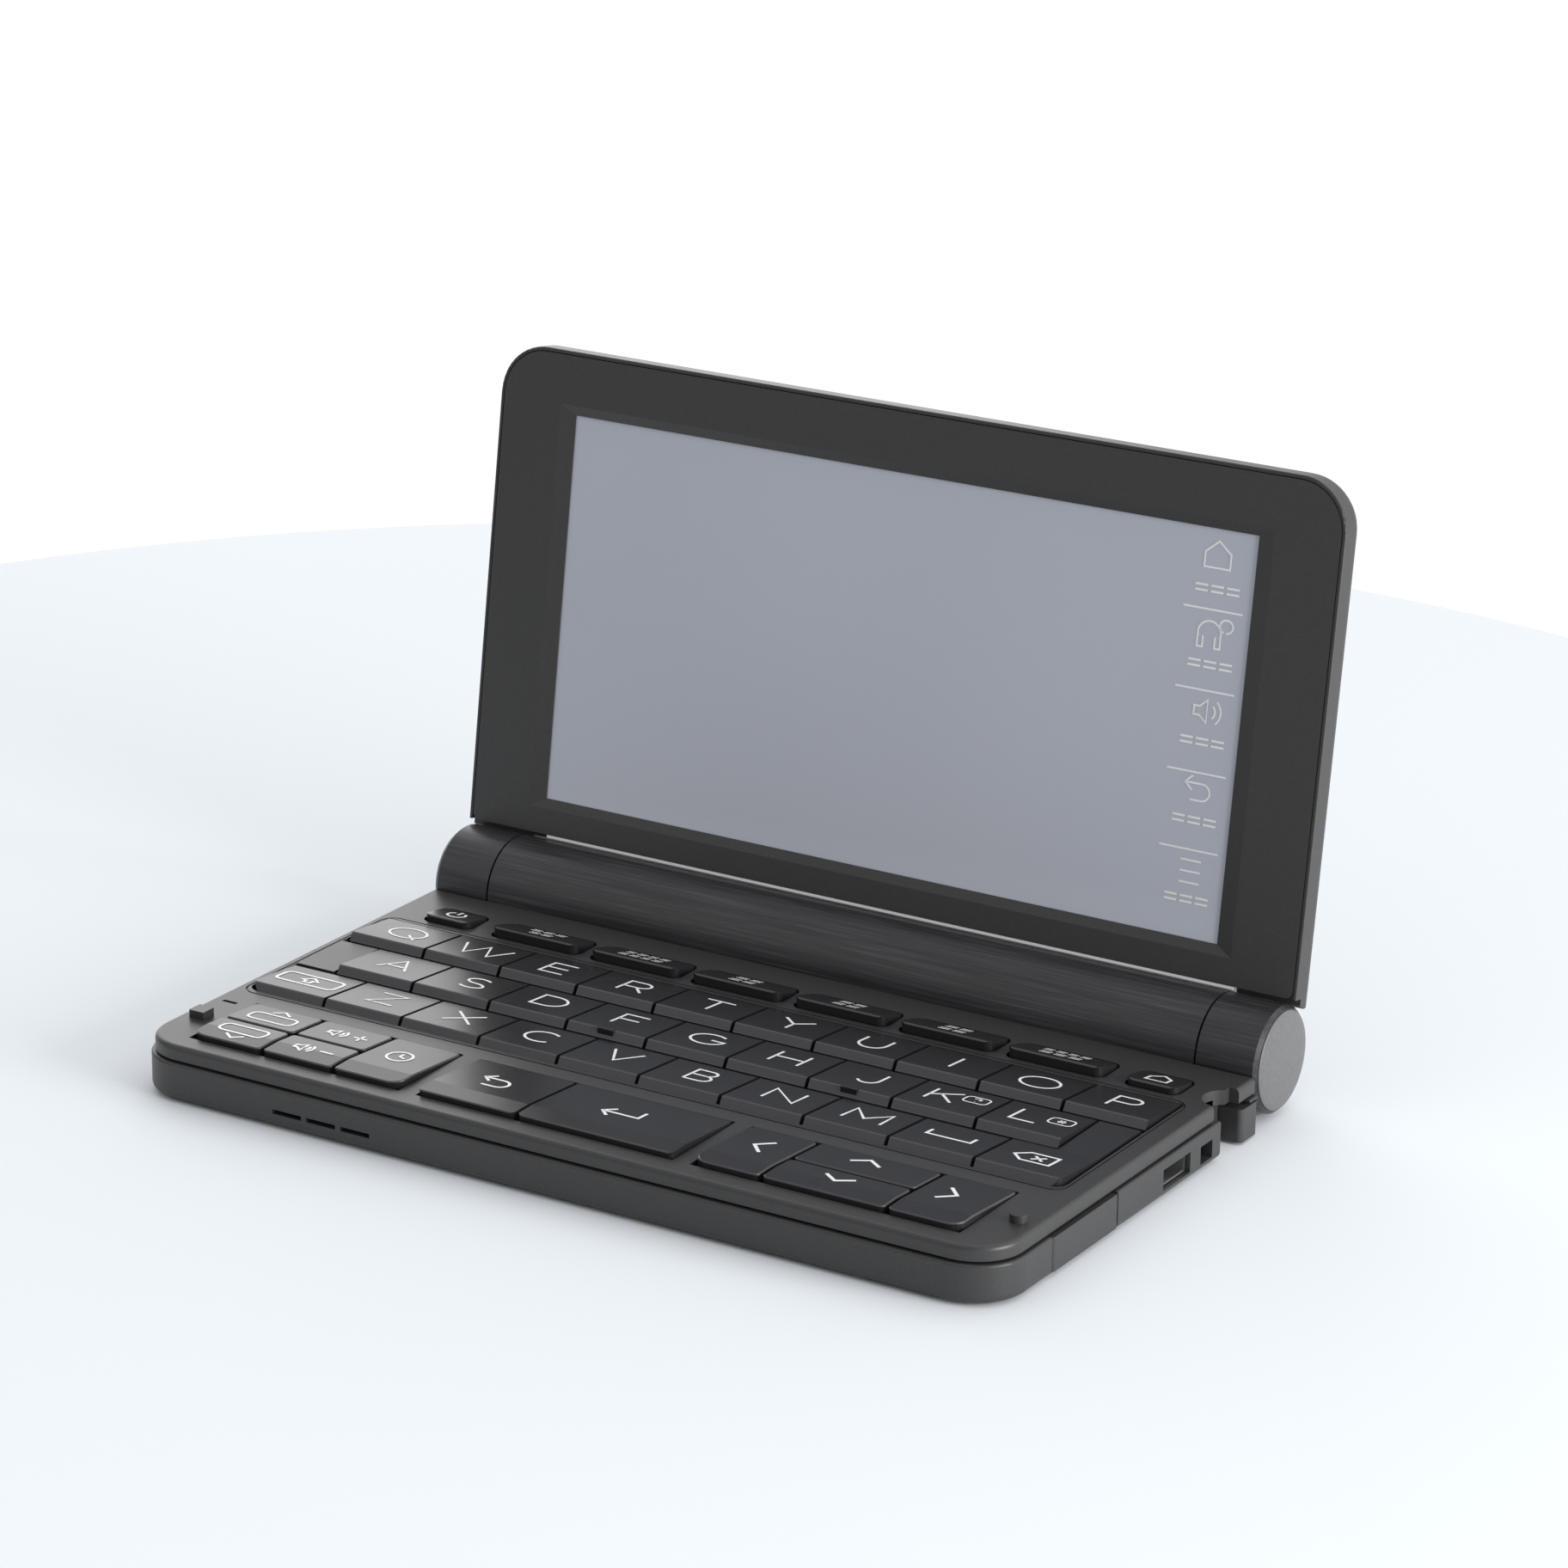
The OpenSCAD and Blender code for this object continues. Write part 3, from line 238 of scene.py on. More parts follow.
# Near-white glossy strip: a painted highlight for the bright line below the bezel
PAINTED_HIGHLIGHT = moulded("painted_highlight_look", 0.88, 0.2, grain=2000.0, spread=0.02, strength=0.02)
SCREEN = touch_screen("touch_screen_look")
PLATED = metal("plated_steel_look", 0.62, 0.3)
DARK_STEEL = metal("screw_steel_look", 0.12, 0.35)
PIN_STEEL = metal("pin_steel_look", 0.6, 0.28, stretch=(1, 6, 6))
PANEL = metal("panel_look", 0.5, 0.45)
BOARD = circuit_board("board_look")
SHEET = moulded("key_rubber_look", 0.09, 0.7, grain=900.0)
FEET = moulded("foot_rubber_look", 0.02, 0.75, grain=1500.0, strength=0.25)
SOCKET = moulded("socket_look", 0.012, 0.4)
CELL = metal("cell_look", 0.3, 0.35, tint=(0.8, 0.92, 1.05))
INK = print_ink("key_ink", 0.93)
SCREEN_INK = print_ink("screen_ink", 0.9)

LOOKS = {
    "bottom_case": CASE, "top_case": DECK, "battery_barrel": BARREL, "battery_cells": CELL,
    "battery_contacts": PLATED, "main_board": BOARD, "key_sheet": SHEET, "speaker": PLATED,
    "usb_socket": PLATED, "earphone_jack": SOCKET, "card_socket": PLATED, "rubber_feet": FEET,
    "case_screws": DARK_STEEL, "battery_cover": BARREL, "card_door": CASE, "stylus": CASE,
    "lid_shell": CASE, "lid_bezel": BEZEL, "hinge_trim": TRIM, "touch_panel": SCREEN,
    "display_panel": PANEL, "barrel_ends": BARREL, "end_caps": GREY, "hinge_pins": PIN_STEEL,
}
for node_name, obj in NODES.items():
    look = LOOKS.get(node_name, KEY)
    obj.data.materials.clear()
    obj.data.materials.append(look)


# ---- Printed legends: strokes of even width, laid on the keys and on the screen ----

def arc(cx, cy, rx, ry, a0, a1, n=14):
    """Points along an ellipse round cx, cy, from angle a0 to a1 in degrees."""
    return [(cx + rx * math.cos(math.radians(a0 + (a1 - a0) * i / n)),
             cy + ry * math.sin(math.radians(a0 + (a1 - a0) * i / n))) for i in range(n + 1)]


# Strokes of each letter in millimetres, centred; a capital reaches from -CAP to CAP
CAP = 2.2
ROUND_O = arc(0, 0, 2.95, CAP + 0.1, 90, 450, 28)
LETTERS = {
    "A": [[(-2.4, -CAP), (0, CAP), (2.4, -CAP)], [(-1.75, -0.8), (1.75, -0.8)]],
    "B": [[(-1.8, -CAP), (-1.8, CAP), (0.5, CAP)] + arc(0.5, 1.15, 1.1, 1.05, 90, -90, 8) + [(-1.8, 0.1)],
          [(0.5, 0.1)] + arc(0.55, -1.05, 1.35, 1.15, 90, -90, 8) + [(-1.8, -CAP)]],
    "C": [arc(0, 0, 2.6, CAP, 48, 312, 20)],
    "D": [[(-2.3, -CAP), (-2.3, CAP), (-0.2, CAP)] + arc(-0.2, 0, 2.6, CAP, 90, -90, 14) + [(-2.3, -CAP)]],
    "E": [[(2.0, CAP), (-1.9, CAP), (-1.9, -CAP), (2.0, -CAP)], [(-1.9, 0.1), (1.6, 0.1)]],
    "F": [[(2.0, CAP), (-1.8, CAP), (-1.8, -CAP)], [(-1.8, 0.0), (1.5, 0.0)]],
    "G": [arc(-0.1, 0, 2.7, CAP, 48, 355, 22) + [(0.5, -0.2)]],
    "H": [[(-2.3, CAP), (-2.3, -CAP)], [(2.3, CAP), (2.3, -CAP)], [(-2.3, 0.05), (2.3, 0.05)]],
    "I": [[(0, CAP), (0, -CAP)]],
    "J": [[(1.5, CAP), (1.5, -0.6)] + arc(-0.1, -0.6, 1.6, 1.6, 0, -150, 12)],
    "K": [[(-1.9, CAP), (-1.9, -CAP)], [(2.1, CAP), (-1.9, -0.5)], [(-0.5, 0.45), (2.2, -CAP)]],
    "L": [[(-1.8, CAP), (-1.8, -CAP), (2.0, -CAP)]],
    "M": [[(-3.0, -CAP), (-2.8, CAP), (0, -1.2), (2.8, CAP), (3.0, -CAP)]],
    "N": [[(-2.4, -CAP), (-2.4, CAP), (2.4, -CAP), (2.4, CAP)]],
    "O": [ROUND_O],
    "P": [[(-1.9, -CAP), (-1.9, CAP), (0.5, CAP)] + arc(0.5, 0.95, 1.5, 1.25, 90, -90, 10) + [(-1.9, -0.3)]],
    "Q": [ROUND_O, [(0.6, -0.7), (2.6, -2.6)]],
    "R": [[(-1.9, -CAP), (-1.9, CAP), (0.5, CAP)] + arc(0.5, 1.0, 1.45, 1.2, 90, -90, 10) + [(-1.9, -0.2)],
          [(0.3, -0.2), (2.1, -CAP)]],
    "S": [arc(0.1, 1.1, 1.8, 1.1, 35, 270, 12) + arc(0.1, -1.1, 1.9, 1.1, 90, -145, 12)],
    "T": [[(-2.3, CAP), (2.3, CAP)], [(0, CAP), (0, -CAP)]],
    "U": [[(-2.1, CAP), (-2.1, -0.2)] + arc(0, -0.2, 2.1, 2.0, 180, 360, 14) + [(2.1, CAP)]],
    "V": [[(-2.4, CAP), (0, -CAP), (2.4, CAP)]],
    "W": [[(-4.1, CAP), (-2.0, -CAP), (0, CAP), (2.0, -CAP), (4.1, CAP)]],
    "X": [[(-2.3, CAP), (2.3, -CAP)], [(2.3, CAP), (-2.3, -CAP)]],
    "Y": [[(-2.4, CAP), (0, 0.1), (2.4, CAP)], [(0, 0.1), (0, -CAP)]],
    "Z": [[(-2.1, CAP), (2.1, CAP), (-2.2, -CAP), (2.2, -CAP)]],
}


# Where a stroke nearly turns back, so that its two directions add up to less than this, it takes
# the later one; at other turns it widens, to this share of its width at most
TURN_BACK = 0.2
MITRE_LIMIT = 1.6
# Points of a stroke nearer than this count as one, and a stroke whose ends are nearer is closed
SAME_POINT, SAME_END = 0.02, 0.03


def ribbon(points, width, closed=False):
    """Outline of an even stroke along points: pairs of left and right vertices."""
    n = len(points)
    pairs = []
    for i, p in enumerate(points):
        a = points[i - 1] if (i > 0 or closed) else None
        b = points[(i + 1) % n] if (i < n - 1 or closed) else None
        dirs = []
        if a is not None:
            d = Vector((p[0] - a[0], p[1] - a[1]))
            dirs.append(d.normalized())
        if b is not None:
            d = Vector((b[0] - p[0], b[1] - p[1]))
            dirs.append(d.normalized())
        if len(dirs) == 2:
            t = dirs[0] + dirs[1]
            if t.length < TURN_BACK:
                t = dirs[1]
            t.normalize()
            normal = Vector((-t.y, t.x))
            side = Vector((-dirs[0].y, dirs[0].x))
            stretch = 1.0 / max(1.0 / MITRE_LIMIT, normal.dot(side))
        else:
            t = dirs[0]
            normal = Vector((-t.y, t.x))
            stretch = 1.0
        off = normal * (width / 2 * stretch)
        pairs.append(((p[0] + off.x, p[1] + off.y), (p[0] - off.x, p[1] - off.y)))
    return pairs


def new_piece(mesh, material):
    """Object in the scene from a finished mesh, under the mesh's name."""
    mesh.materials.append(material)
    obj = bpy.data.objects.new(mesh.name, mesh)
    bpy.context.scene.collection.objects.link(obj)
    return obj


def marks(name, strokes, width, place, body, ink):
    """Flat strokes as one mesh; place(x, y) gives the point in the part's frame, in millimetres."""
    verts, faces = [], []
    for s in strokes:
        clean = [s[0]]
        for p in s[1:]:
            if math.dist(p, clean[-1]) > SAME_POINT:
                clean.append(p)
        closed = len(clean) > 3 and math.dist(clean[0], clean[-1]) < SAME_END
        if closed:
            clean = clean[:-1]
        pairs = ribbon(clean, width, closed)
        base = len(verts)
        for left, right in pairs:
            verts.append([c * MM for c in place(*left)])
            verts.append([c * MM for c in place(*right)])
        count = len(pairs)
        for i in range(count if closed else count - 1):
            j = (i + 1) % count
            faces.append((base + 2 * i, base + 2 * i + 1, base + 2 * j + 1, base + 2 * j))
    mesh = bpy.data.meshes.new(name)
    mesh.from_pydata(verts, [], faces)
    mesh.update()
    obj = new_piece(mesh, ink)
    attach(obj, body)


def node_box(name):
    """Low and high corner of a node, in millimetres."""
    lo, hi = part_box(name)
    return [c / MM for c in lo], [c / MM for c in hi]


# Tops of the keys above the deck, as in the part's source: the letter keys' and the flat keys',
# the dictionary keys', and their back edge
KEY_RISE = 1.0
HIGH_RISE = 1.5
BACK_RISE = 0.2
KEY_TOP = DECK_Z + KEY_RISE
# The front row's keys fall to the front too, from a knee on
FRONT_KNEE = 3.8
KNEE_SLOPE = 0.03
# A letter key's top: where its slope begins and ends, and how far it falls
FACET_D = 1.3
FACET_DROP = 0.02
BACK_EDGE = 0.25
LETTER_FALL = 0.83

# Scale of the letters' strokes, and their width
LETTER_SIZE = 1.07
LETTER_STROKE = 0.44


def letter_plane(front, depth):
    """Height of a letter key's top at a place y."""
    def height(y):
        t = y - front
        fall = (t - FACET_D) * LETTER_FALL / (depth - FACET_D - BACK_EDGE)
        return KEY_TOP - FACET_DROP - fall + PRINT_LIFT
    return height


def flat_plane(front, depth, rise=KEY_RISE, knee=0.4):
    """Height of a flat key's top: highest at the knee, and falling from it both ways."""
    def height(y):
        t = y - front
        if t < knee:
            return DECK_Z + rise - KNEE_SLOPE * (knee - t) + PRINT_LIFT
        return DECK_Z + rise - (t - knee) * (rise - BACK_RISE) / (depth - BACK_EDGE - knee) + PRINT_LIFT
    return height


def knee_plane(front, depth):
    return flat_plane(front, depth, knee=FRONT_KNEE)


def high_plane(front, depth):
    return flat_plane(front, depth, rise=HIGH_RISE)


def on_key(cx, cy, plane):
    """Place for marks whose centre is at cx, cy on a key's top."""
    return lambda x, y: (cx + x, cy + y, plane(cy + y))


def scaled(strokes, s):
    """Strokes at scale s about their centre."""
    return [[(x * s, y * s) for x, y in stroke] for stroke in strokes]


# The letters of K and L stand to the left, beside a second mark
MARKED_SHIFT, LETTER_SHIFT = -1.7, 0.35
# Letters stand behind the middle of a key, further on the deeper keys
DEEP_KEY, SHALLOW_BACK, DEEP_BACK = 11.2, 0.35, 0.75
for c in "QWERTYUIOPASDFGHJKLZXCVBNM":
    node_name = "key_" + c.lower()
    lo, hi = node_box(node_name)
    depth = hi[1] - lo[1]
    cx = (lo[0] + hi[0]) / 2 + (MARKED_SHIFT if c in "KL" else LETTER_SHIFT)
    cy = lo[1] + depth / 2 + (SHALLOW_BACK if depth < DEEP_KEY else DEEP_BACK)
    place = on_key(cx, cy, letter_plane(lo[1], depth))
    strokes = scaled(LETTERS[c], LETTER_SIZE)
    marks("legend_" + c.lower(), strokes, LETTER_STROKE, place, node_name, INK)


def box_outline(x, y, w, h, r):
    """Rounded frame centred on x, y."""
    left, right, low, high = x - w / 2 + r, x + w / 2 - r, y - h / 2 + r, y + h / 2 - r
    pts = (arc(right, high, r, r, 0, 90, 4) + arc(left, high, r, r, 90, 180, 4)
           + arc(left, low, r, r, 180, 270, 4) + arc(right, low, r, r, 270, 360, 4))
    return pts + [pts[0]]


def speaker_icon(x, y, s):
    """Loudspeaker with two waves, centred on x, y, at scale s."""
    body = [(-1.3, 0.5), (-0.6, 0.5), (0.3, 1.3), (0.3, -1.3), (-0.6, -0.5), (-1.3, -0.5), (-1.3, 0.5)]
    return [[(x + px * s, y + py * s) for px, py in body],
            arc(x + 0.4 * s, y, 0.9 * s, 0.9 * s, 50, -50, 6),
            arc(x + 0.4 * s, y, 1.6 * s, 1.6 * s, 50, -50, 8)]


# Half the distance between the two bars
BAR_Y = 0.42


def text_bars(y, widths, gap):
    """A row of plain double bars, centred, that stands for a printed word."""
    total = sum(widths) + gap * (len(widths) - 1)
    x = -total / 2
    out = []
    for length in widths:
        out += [[(x, y + BAR_Y), (x + length, y + BAR_Y)], [(x, y - BAR_Y), (x + length, y - BAR_Y)]]
        x += length + gap
    return out


HOME = [[(-1.7, -1.5), (-1.7, 0.3), (0, 1.7), (1.7, 0.3), (1.7, -1.5), (-1.7, -1.5)]]
POWER = [arc(0, -0.1, 1.5, 1.4, 55, -235, 20), [(0, 0.1), (0, 1.8)]]
BACK_ARROW = [[(-1.0, 2.2), (-2.4, 0.9), (-1.0, -0.4)],
              [(-2.3, 0.9), (1.0, 0.9)] + arc(1.0, -0.6, 1.5, 1.5, 90, -90, 10) + [(-1.2, -2.1)]]
ENTER_ARROW = [[(-1.4, 1.1), (-3.0, -0.5), (-1.4, -2.1)], [(-2.9, -0.5), (3.0, -0.5), (3.0, 2.0)]]
CLOCK = [arc(0, 0, 2.0, 2.0, 90, 450, 20), [(0, 1.2), (0, 0), (1.1, -0.5)]]
SHIFT = [box_outline(0, 0, 10.6, 4.2, 1.0),
         [(0, 1.2), (-1.5, -0.1), (-0.6, -0.1), (-0.6, -1.1),
          (0.6, -1.1), (0.6, -0.1), (1.5, -0.1), (0, 1.2)]]
SPACE = [[(-3.6, 1.0), (-3.6, -1.0), (3.6, -1.0), (3.6, 1.0)]]
DELETE = [[(-3.4, 0), (-1.6, 1.8), (3.0, 1.8), (3.0, -1.8), (-1.6, -1.8), (-3.4, 0)],
          [(-0.4, 0.8), (1.4, -0.8)], [(-0.4, -0.8), (1.4, 0.8)]]
PAGE_UP = [[(-1.6, 1.5), (0, 2.7), (1.6, 1.5)], box_outline(0, -0.7, 8.0, 2.9, 1.0)]
PAGE_DOWN = [[(-1.6, -1.5), (0, -2.7), (1.6, -1.5)], box_outline(0, 0.7, 8.0, 2.9, 1.0)]
SOFTER = speaker_icon(-1.6, 0, 0.95) + [[(1.6, 0), (4.0, 0)]]
LOUDER = SOFTER + [[(2.8, 1.2), (2.8, -1.2)]]
LEFT = [[(1.0, 2.4), (-1.2, 0), (1.0, -2.4)]]
RIGHT = [[(-1.0, 2.4), (1.2, 0), (-1.0, -2.4)]]
UP = [[(-2.4, -0.9), (0, 0.9), (2.4, -0.9)]]
DOWN = [[(-2.4, 0.9), (0, -0.9), (2.4, 0.9)]]
SMALL_BOX = box_outline(0, 0, 3.9, 2.6, 0.8)
HELP = [SMALL_BOX, arc(0, 0.35, 0.55, 0.4, 170, -60, 8), [(0, -0.75), (0, -0.6)]]
STAR = [SMALL_BOX, [(-0.7, 0), (0.7, 0)], [(-0.4, 0.6), (0.4, -0.6)], [(-0.4, -0.6), (0.4, 0.6)]]


def key_marks(name, node_name, rect, strokes, width, shift=(0, 0), planes=flat_plane):
    """Marks centred on a key's top; rect is left, front, right, back."""
    cx, cy = (rect[0] + rect[2]) / 2 + shift[0], (rect[1] + rect[3]) / 2 + shift[1]
    place = on_key(cx, cy, planes(rect[1], rect[3] - rect[1]))
    marks(name, strokes, width, place, node_name, INK)


def node_rect(name):
    """Left, front, right and back of a node."""
    lo, hi = node_box(name)
    return [lo[0], lo[1], hi[0], hi[1]]


key_marks("power_mark", "power_key", node_rect("power_key"), POWER, 0.42, (0, 0.1))
key_marks("home_mark", "home_key", node_rect("home_key"), HOME, 0.42, (0, 0.1))
key_marks("back_mark", "back_key", node_rect("back_key"), BACK_ARROW, 0.48, (-0.8, 0.9), knee_plane)
key_marks("enter_mark", "enter_key", node_rect("enter_key"), ENTER_ARROW, 0.5, (-1.0, 0.8), knee_plane)
key_marks("shift_mark", "shift_key", node_rect("shift_key"), SHIFT, 0.5, (0, 0.6), letter_plane)
key_marks("space_mark", "space_key", node_rect("space_key"), SPACE, 0.48, (0, 0.9), letter_plane)
# The delete key also fills the corner beside the row behind; its mark keeps to the shift key's row
shift_rect, delete_rect = node_rect("shift_key"), node_rect("delete_key")
delete_rect = [delete_rect[0], shift_rect[1], delete_rect[2], shift_rect[3]]
key_marks("delete_mark", "delete_key", delete_rect, DELETE, 0.45, (-0.2, 0.3), letter_plane)


# ---- Front row: keys that share a node, redrawn with their tops in the row's one plane ----

# The row's front and back, and each set's ends and slits across
FRONT_ROW = (HINGE_Y - 80.8, HINGE_Y - 64.6)
FRONT_MID = sum(FRONT_ROW) / 2
PAGE_X = (-66.1, -53.35, -40.5, -28.6)
ARROW_X = (21.9, 33.1, 53.45, 65.2)
HALF_SLIT = 0.3
CORNER, OUTER_CORNER = 0.8, 2.3
# Rings of such a key from its foot up: how far each is drawn in, and how far below the top; the
# first one is the foot
FOOT = None
KEY_RINGS = ((0, FOOT), (0, 0.22), (0.06, 0.09), (0.2, 0.0))


def row_plane(front, depth):
    """One sloping plane over the whole front row, for its half keys as for its full ones."""
    return flat_plane(FRONT_ROW[0], FRONT_ROW[1] - FRONT_ROW[0], knee=FRONT_KNEE)


def key_ring(rect, inset, knee_y):
    """Rounded outline from above, drawn in by inset, and where it crosses the knee, if it does.

    rect is left, front, right, back, and the radii of the left and right front corners.
    """
    x0, y0, x1, y1 = rect[0] + inset, rect[1] + inset, rect[2] - inset, rect[3] - inset
    left, right, r = rect[4] - inset, rect[5] - inset, CORNER - inset
    front = (arc(x0 + left, y0 + left, left, left, 180, 270, 6)
             + arc(x1 - right, y0 + right, right, right, 270, 360, 6))
    back = arc(x1 - r, y1 - r, r, r, 0, 90, 4) + arc(x0 + r, y1 - r, r, r, 90, 180, 4)
    if y0 + max(left, right) < knee_y < y1 - r:
        return front + [(x1, knee_y)] + back + [(x0, knee_y)], (len(front), len(front) + len(back) + 1)
    return front + back, None


def row_keys(name, node, rects, base_z):
    """The front row's keys of one node: rounded keys whose tops lie in the row's one plane."""
    top = row_plane(0, 0)
    verts, faces = [], []
    for rect in rects:
        start = len(verts)
        for inset, drop in KEY_RINGS:
            ring, knees = key_ring(rect, inset, FRONT_ROW[0] + FRONT_KNEE)
            for x, y in ring:
                z = base_z if drop is FOOT else top(y) - PRINT_LIFT - drop
                verts.append((x * MM, y * MM, z * MM))
        n = len(ring)
        faces.append([start + i for i in range(n - 1, -1, -1)])
        for storey in range(len(KEY_RINGS) - 1):
            a = start + storey * n
            faces += [[a + i, a + (i + 1) % n, a + n + (i + 1) % n, a + n + i] for i in range(n)]
        a = start + (len(KEY_RINGS) - 1) * n
        if knees:
            faces.append([a + i for i in range(knees[0] + 1)] + [a + knees[1]])
            faces.append([a + i for i in range(knees[0], knees[1] + 1)])
        else:
            faces.append([a + i for i in range(n)])
    mesh = bpy.data.meshes.new(name)
    mesh.from_pydata(verts, [], faces)
    mesh.update()
    obj = new_piece(mesh, KEY)
    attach(obj, node)
    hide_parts(node)


def full_key(x0, x1, left=CORNER, right=CORNER):
    """Outline of a key over the row's whole depth."""
    return [x0, FRONT_ROW[0], x1, FRONT_ROW[1], left, right]


def lower_key(x0, x1, left=CORNER):
    """Outline of a half key in front of the row's slit."""
    return [x0, FRONT_ROW[0], x1, FRONT_MID - HALF_SLIT, left, CORNER]


def upper_key(x0, x1):
    """Outline of a half key behind the row's slit."""
    return [x0, FRONT_MID + HALF_SLIT, x1, FRONT_ROW[1], CORNER, CORNER]


row_base = node_box("page_volume_keys")[0][2]
page_in, volume_in = PAGE_X[1] - HALF_SLIT, PAGE_X[1] + HALF_SLIT
volume_out, history_in = PAGE_X[2] - HALF_SLIT, PAGE_X[2] + HALF_SLIT
row_keys("page_and_volume_keys", "page_volume_keys",
         [lower_key(PAGE_X[0], page_in, OUTER_CORNER), upper_key(PAGE_X[0], page_in),
          lower_key(volume_in, volume_out), upper_key(volume_in, volume_out),
          full_key(history_in, PAGE_X[3], right=OUTER_CORNER)], row_base)
left_in, up_in = ARROW_X[1] - HALF_SLIT, ARROW_X[1] + HALF_SLIT
up_out, right_in = ARROW_X[2] - HALF_SLIT, ARROW_X[2] + HALF_SLIT
row_keys("direction_keys", "arrow_keys",
         [full_key(ARROW_X[0], left_in, left=OUTER_CORNER),
          lower_key(up_in, up_out), upper_key(up_in, up_out),
          full_key(right_in, ARROW_X[3], right=OUTER_CORNER)], row_base)


def row_marks(node_name, width, rows):
    """Marks on the front row; each has a name, its key's outline, its strokes and its shift."""
    for name, rect, strokes, shift in rows:
        key_marks(name, node_name, rect, strokes, width, shift, row_plane)


row_marks("page_volume_keys", 0.44, [
    ("page_up_mark", upper_key(*PAGE_X[0:2]), PAGE_UP, (0, 0)),
    ("page_down_mark", lower_key(*PAGE_X[0:2]), PAGE_DOWN, (0, 0))])
row_marks("page_volume_keys", 0.45, [
    ("louder_mark", upper_key(*PAGE_X[1:3]), LOUDER, (0, 0)),
    ("softer_mark", lower_key(*PAGE_X[1:3]), SOFTER, (0, 0))])
row_marks("page_volume_keys", 0.42, [("history_mark", full_key(*PAGE_X[2:4]), CLOCK, (-0.3, 1.2))])
row_marks("arrow_keys", 0.55, [
    ("left_mark", full_key(*ARROW_X[0:2]), LEFT, (0, 1.5)),
    ("up_mark", upper_key(*ARROW_X[1:3]), UP, (-0.5, 1.0)),
    ("down_mark", lower_key(*ARROW_X[1:3]), DOWN, (-0.3, 0.9)),
    ("right_mark", full_key(*ARROW_X[2:4]), RIGHT, (-1.0, 1.2))])

# Six dictionary keys: pitch, width and place as on the deck, and the bars of their two rows of words
DICTIONARY_COUNT = 6
DICTIONARY_PITCH, DICTIONARY_W, DICTIONARY_SHIFT = 18.43, 15.75, 0.35
DICTIONARY_FRONT, DICTIONARY_BACK = 20.8, 14.8
WORD_ROW, BAR_GAP = 1.15, 0.55
TWO_WIDE, FOUR_NARROW = (1.9, 1.9), (1.5, 1.5, 1.5, 1.5)
DICTIONARY_WORDS = [((1.7, 1.7, 1.7), (1.7, 1.7)), (FOUR_NARROW, FOUR_NARROW), (TWO_WIDE, TWO_WIDE),
                    (TWO_WIDE, TWO_WIDE), (TWO_WIDE, TWO_WIDE), (FOUR_NARROW, (1.9, 1.9, 1.9))]
DICTIONARY_LEFT = -((DICTIONARY_COUNT - 1) * DICTIONARY_PITCH + DICTIONARY_W) / 2 + DICTIONARY_SHIFT
for i, (upper, lower) in enumerate(DICTIONARY_WORDS):
    left = DICTIONARY_LEFT + i * DICTIONARY_PITCH
    rect = [left, HINGE_Y - DICTIONARY_FRONT, left + DICTIONARY_W, HINGE_Y - DICTIONARY_BACK]
    words = text_bars(WORD_ROW, upper, BAR_GAP) + text_bars(-WORD_ROW, lower, BAR_GAP)
    key_marks("dictionary_mark_%d" % (i + 1), "dictionary_keys", rect, words, 0.4, (0, 0.3), high_plane)

# Second marks beside K and L
key_marks("help_mark", "key_k", node_rect("key_k"), HELP, 0.28, (3.2, 1.9), letter_plane)
key_marks("star_mark", "key_l", node_rect("key_l"), STAR, 0.28, (3.4, 1.4), letter_plane)


def on_lid(x, y, u):
    """Point of the lid in the part's frame: x across, y behind the hinge axis, u up along the lid."""
    return (x, HINGE_Y + y * math.cos(LEAN) + u * math.sin(LEAN),
            AXIS_Z + u * math.cos(LEAN) - y * math.sin(LEAN))


def screen_marks(name, cx, cu, strokes, width=0.3):
    """Marks on the touch panel's face, centred on cx, cu."""
    face = LID_SETBACK + BEZEL_T + PANEL_GAP - PRINT_LIFT
    marks(name, strokes, width, lambda x, u: on_lid(cx + x, face, cu + u), "lid", SCREEN_INK)


HEADSET = [arc(-0.4, 0.2, 1.9, 1.9, 200, -20, 14), [(-2.3, -0.4), (-2.3, -1.9), (-1.4, -1.9), (-1.4, -0.2)],
           [(1.5, -0.4), (1.5, -1.9), (0.6, -1.9), (0.6, -0.2)], arc(2.3, 1.6, 1.1, 1.0, 250, -90, 14)]
MENU = [[(-1.7, y), (1.7, y)] for y in (1.7, 0, -1.7)]
screen_marks("screen_home", 53.6, 72.2, scaled(HOME, 1.25))
screen_marks("screen_listen", 53.8, 60.3, HEADSET)
screen_marks("screen_sound", 53.9, 48.9, scaled(speaker_icon(0, 0, 1), 1.35))
screen_marks("screen_back", 54.0, 37.2, scaled(BACK_ARROW, 0.85))
screen_marks("screen_menu", 54.2, 24.6, MENU)
for i, u in enumerate((67.2, 55.9, 44.3, 32.4, 20.4)):
    screen_marks("screen_word_%d" % (i + 1), 54.0, u, text_bars(0, (2.1, 2.1, 2.1), 0.5), 0.34)
for i, u in enumerate((64.1, 52.0, 39.6, 27.9)):
    screen_marks("screen_rule_%d" % (i + 1), 53.6, u, [[(-4.9, 0), (4.9, 0)]])


# ---- Painted highlight: a near-white strip below the bezel, in front of its holder in the recess, standing for the bright line of light there ----

STRIP_LEFT, STRIP_RIGHT = -59.0, 63.5
# Its section: behind the hinge axis, and up along the lid
STRIP_SECTION = [(1.42, 8.46), (1.42, 8.86), (1.5, 8.9), (2.2, 8.9), (2.2, 8.28), (1.55, 8.36)]


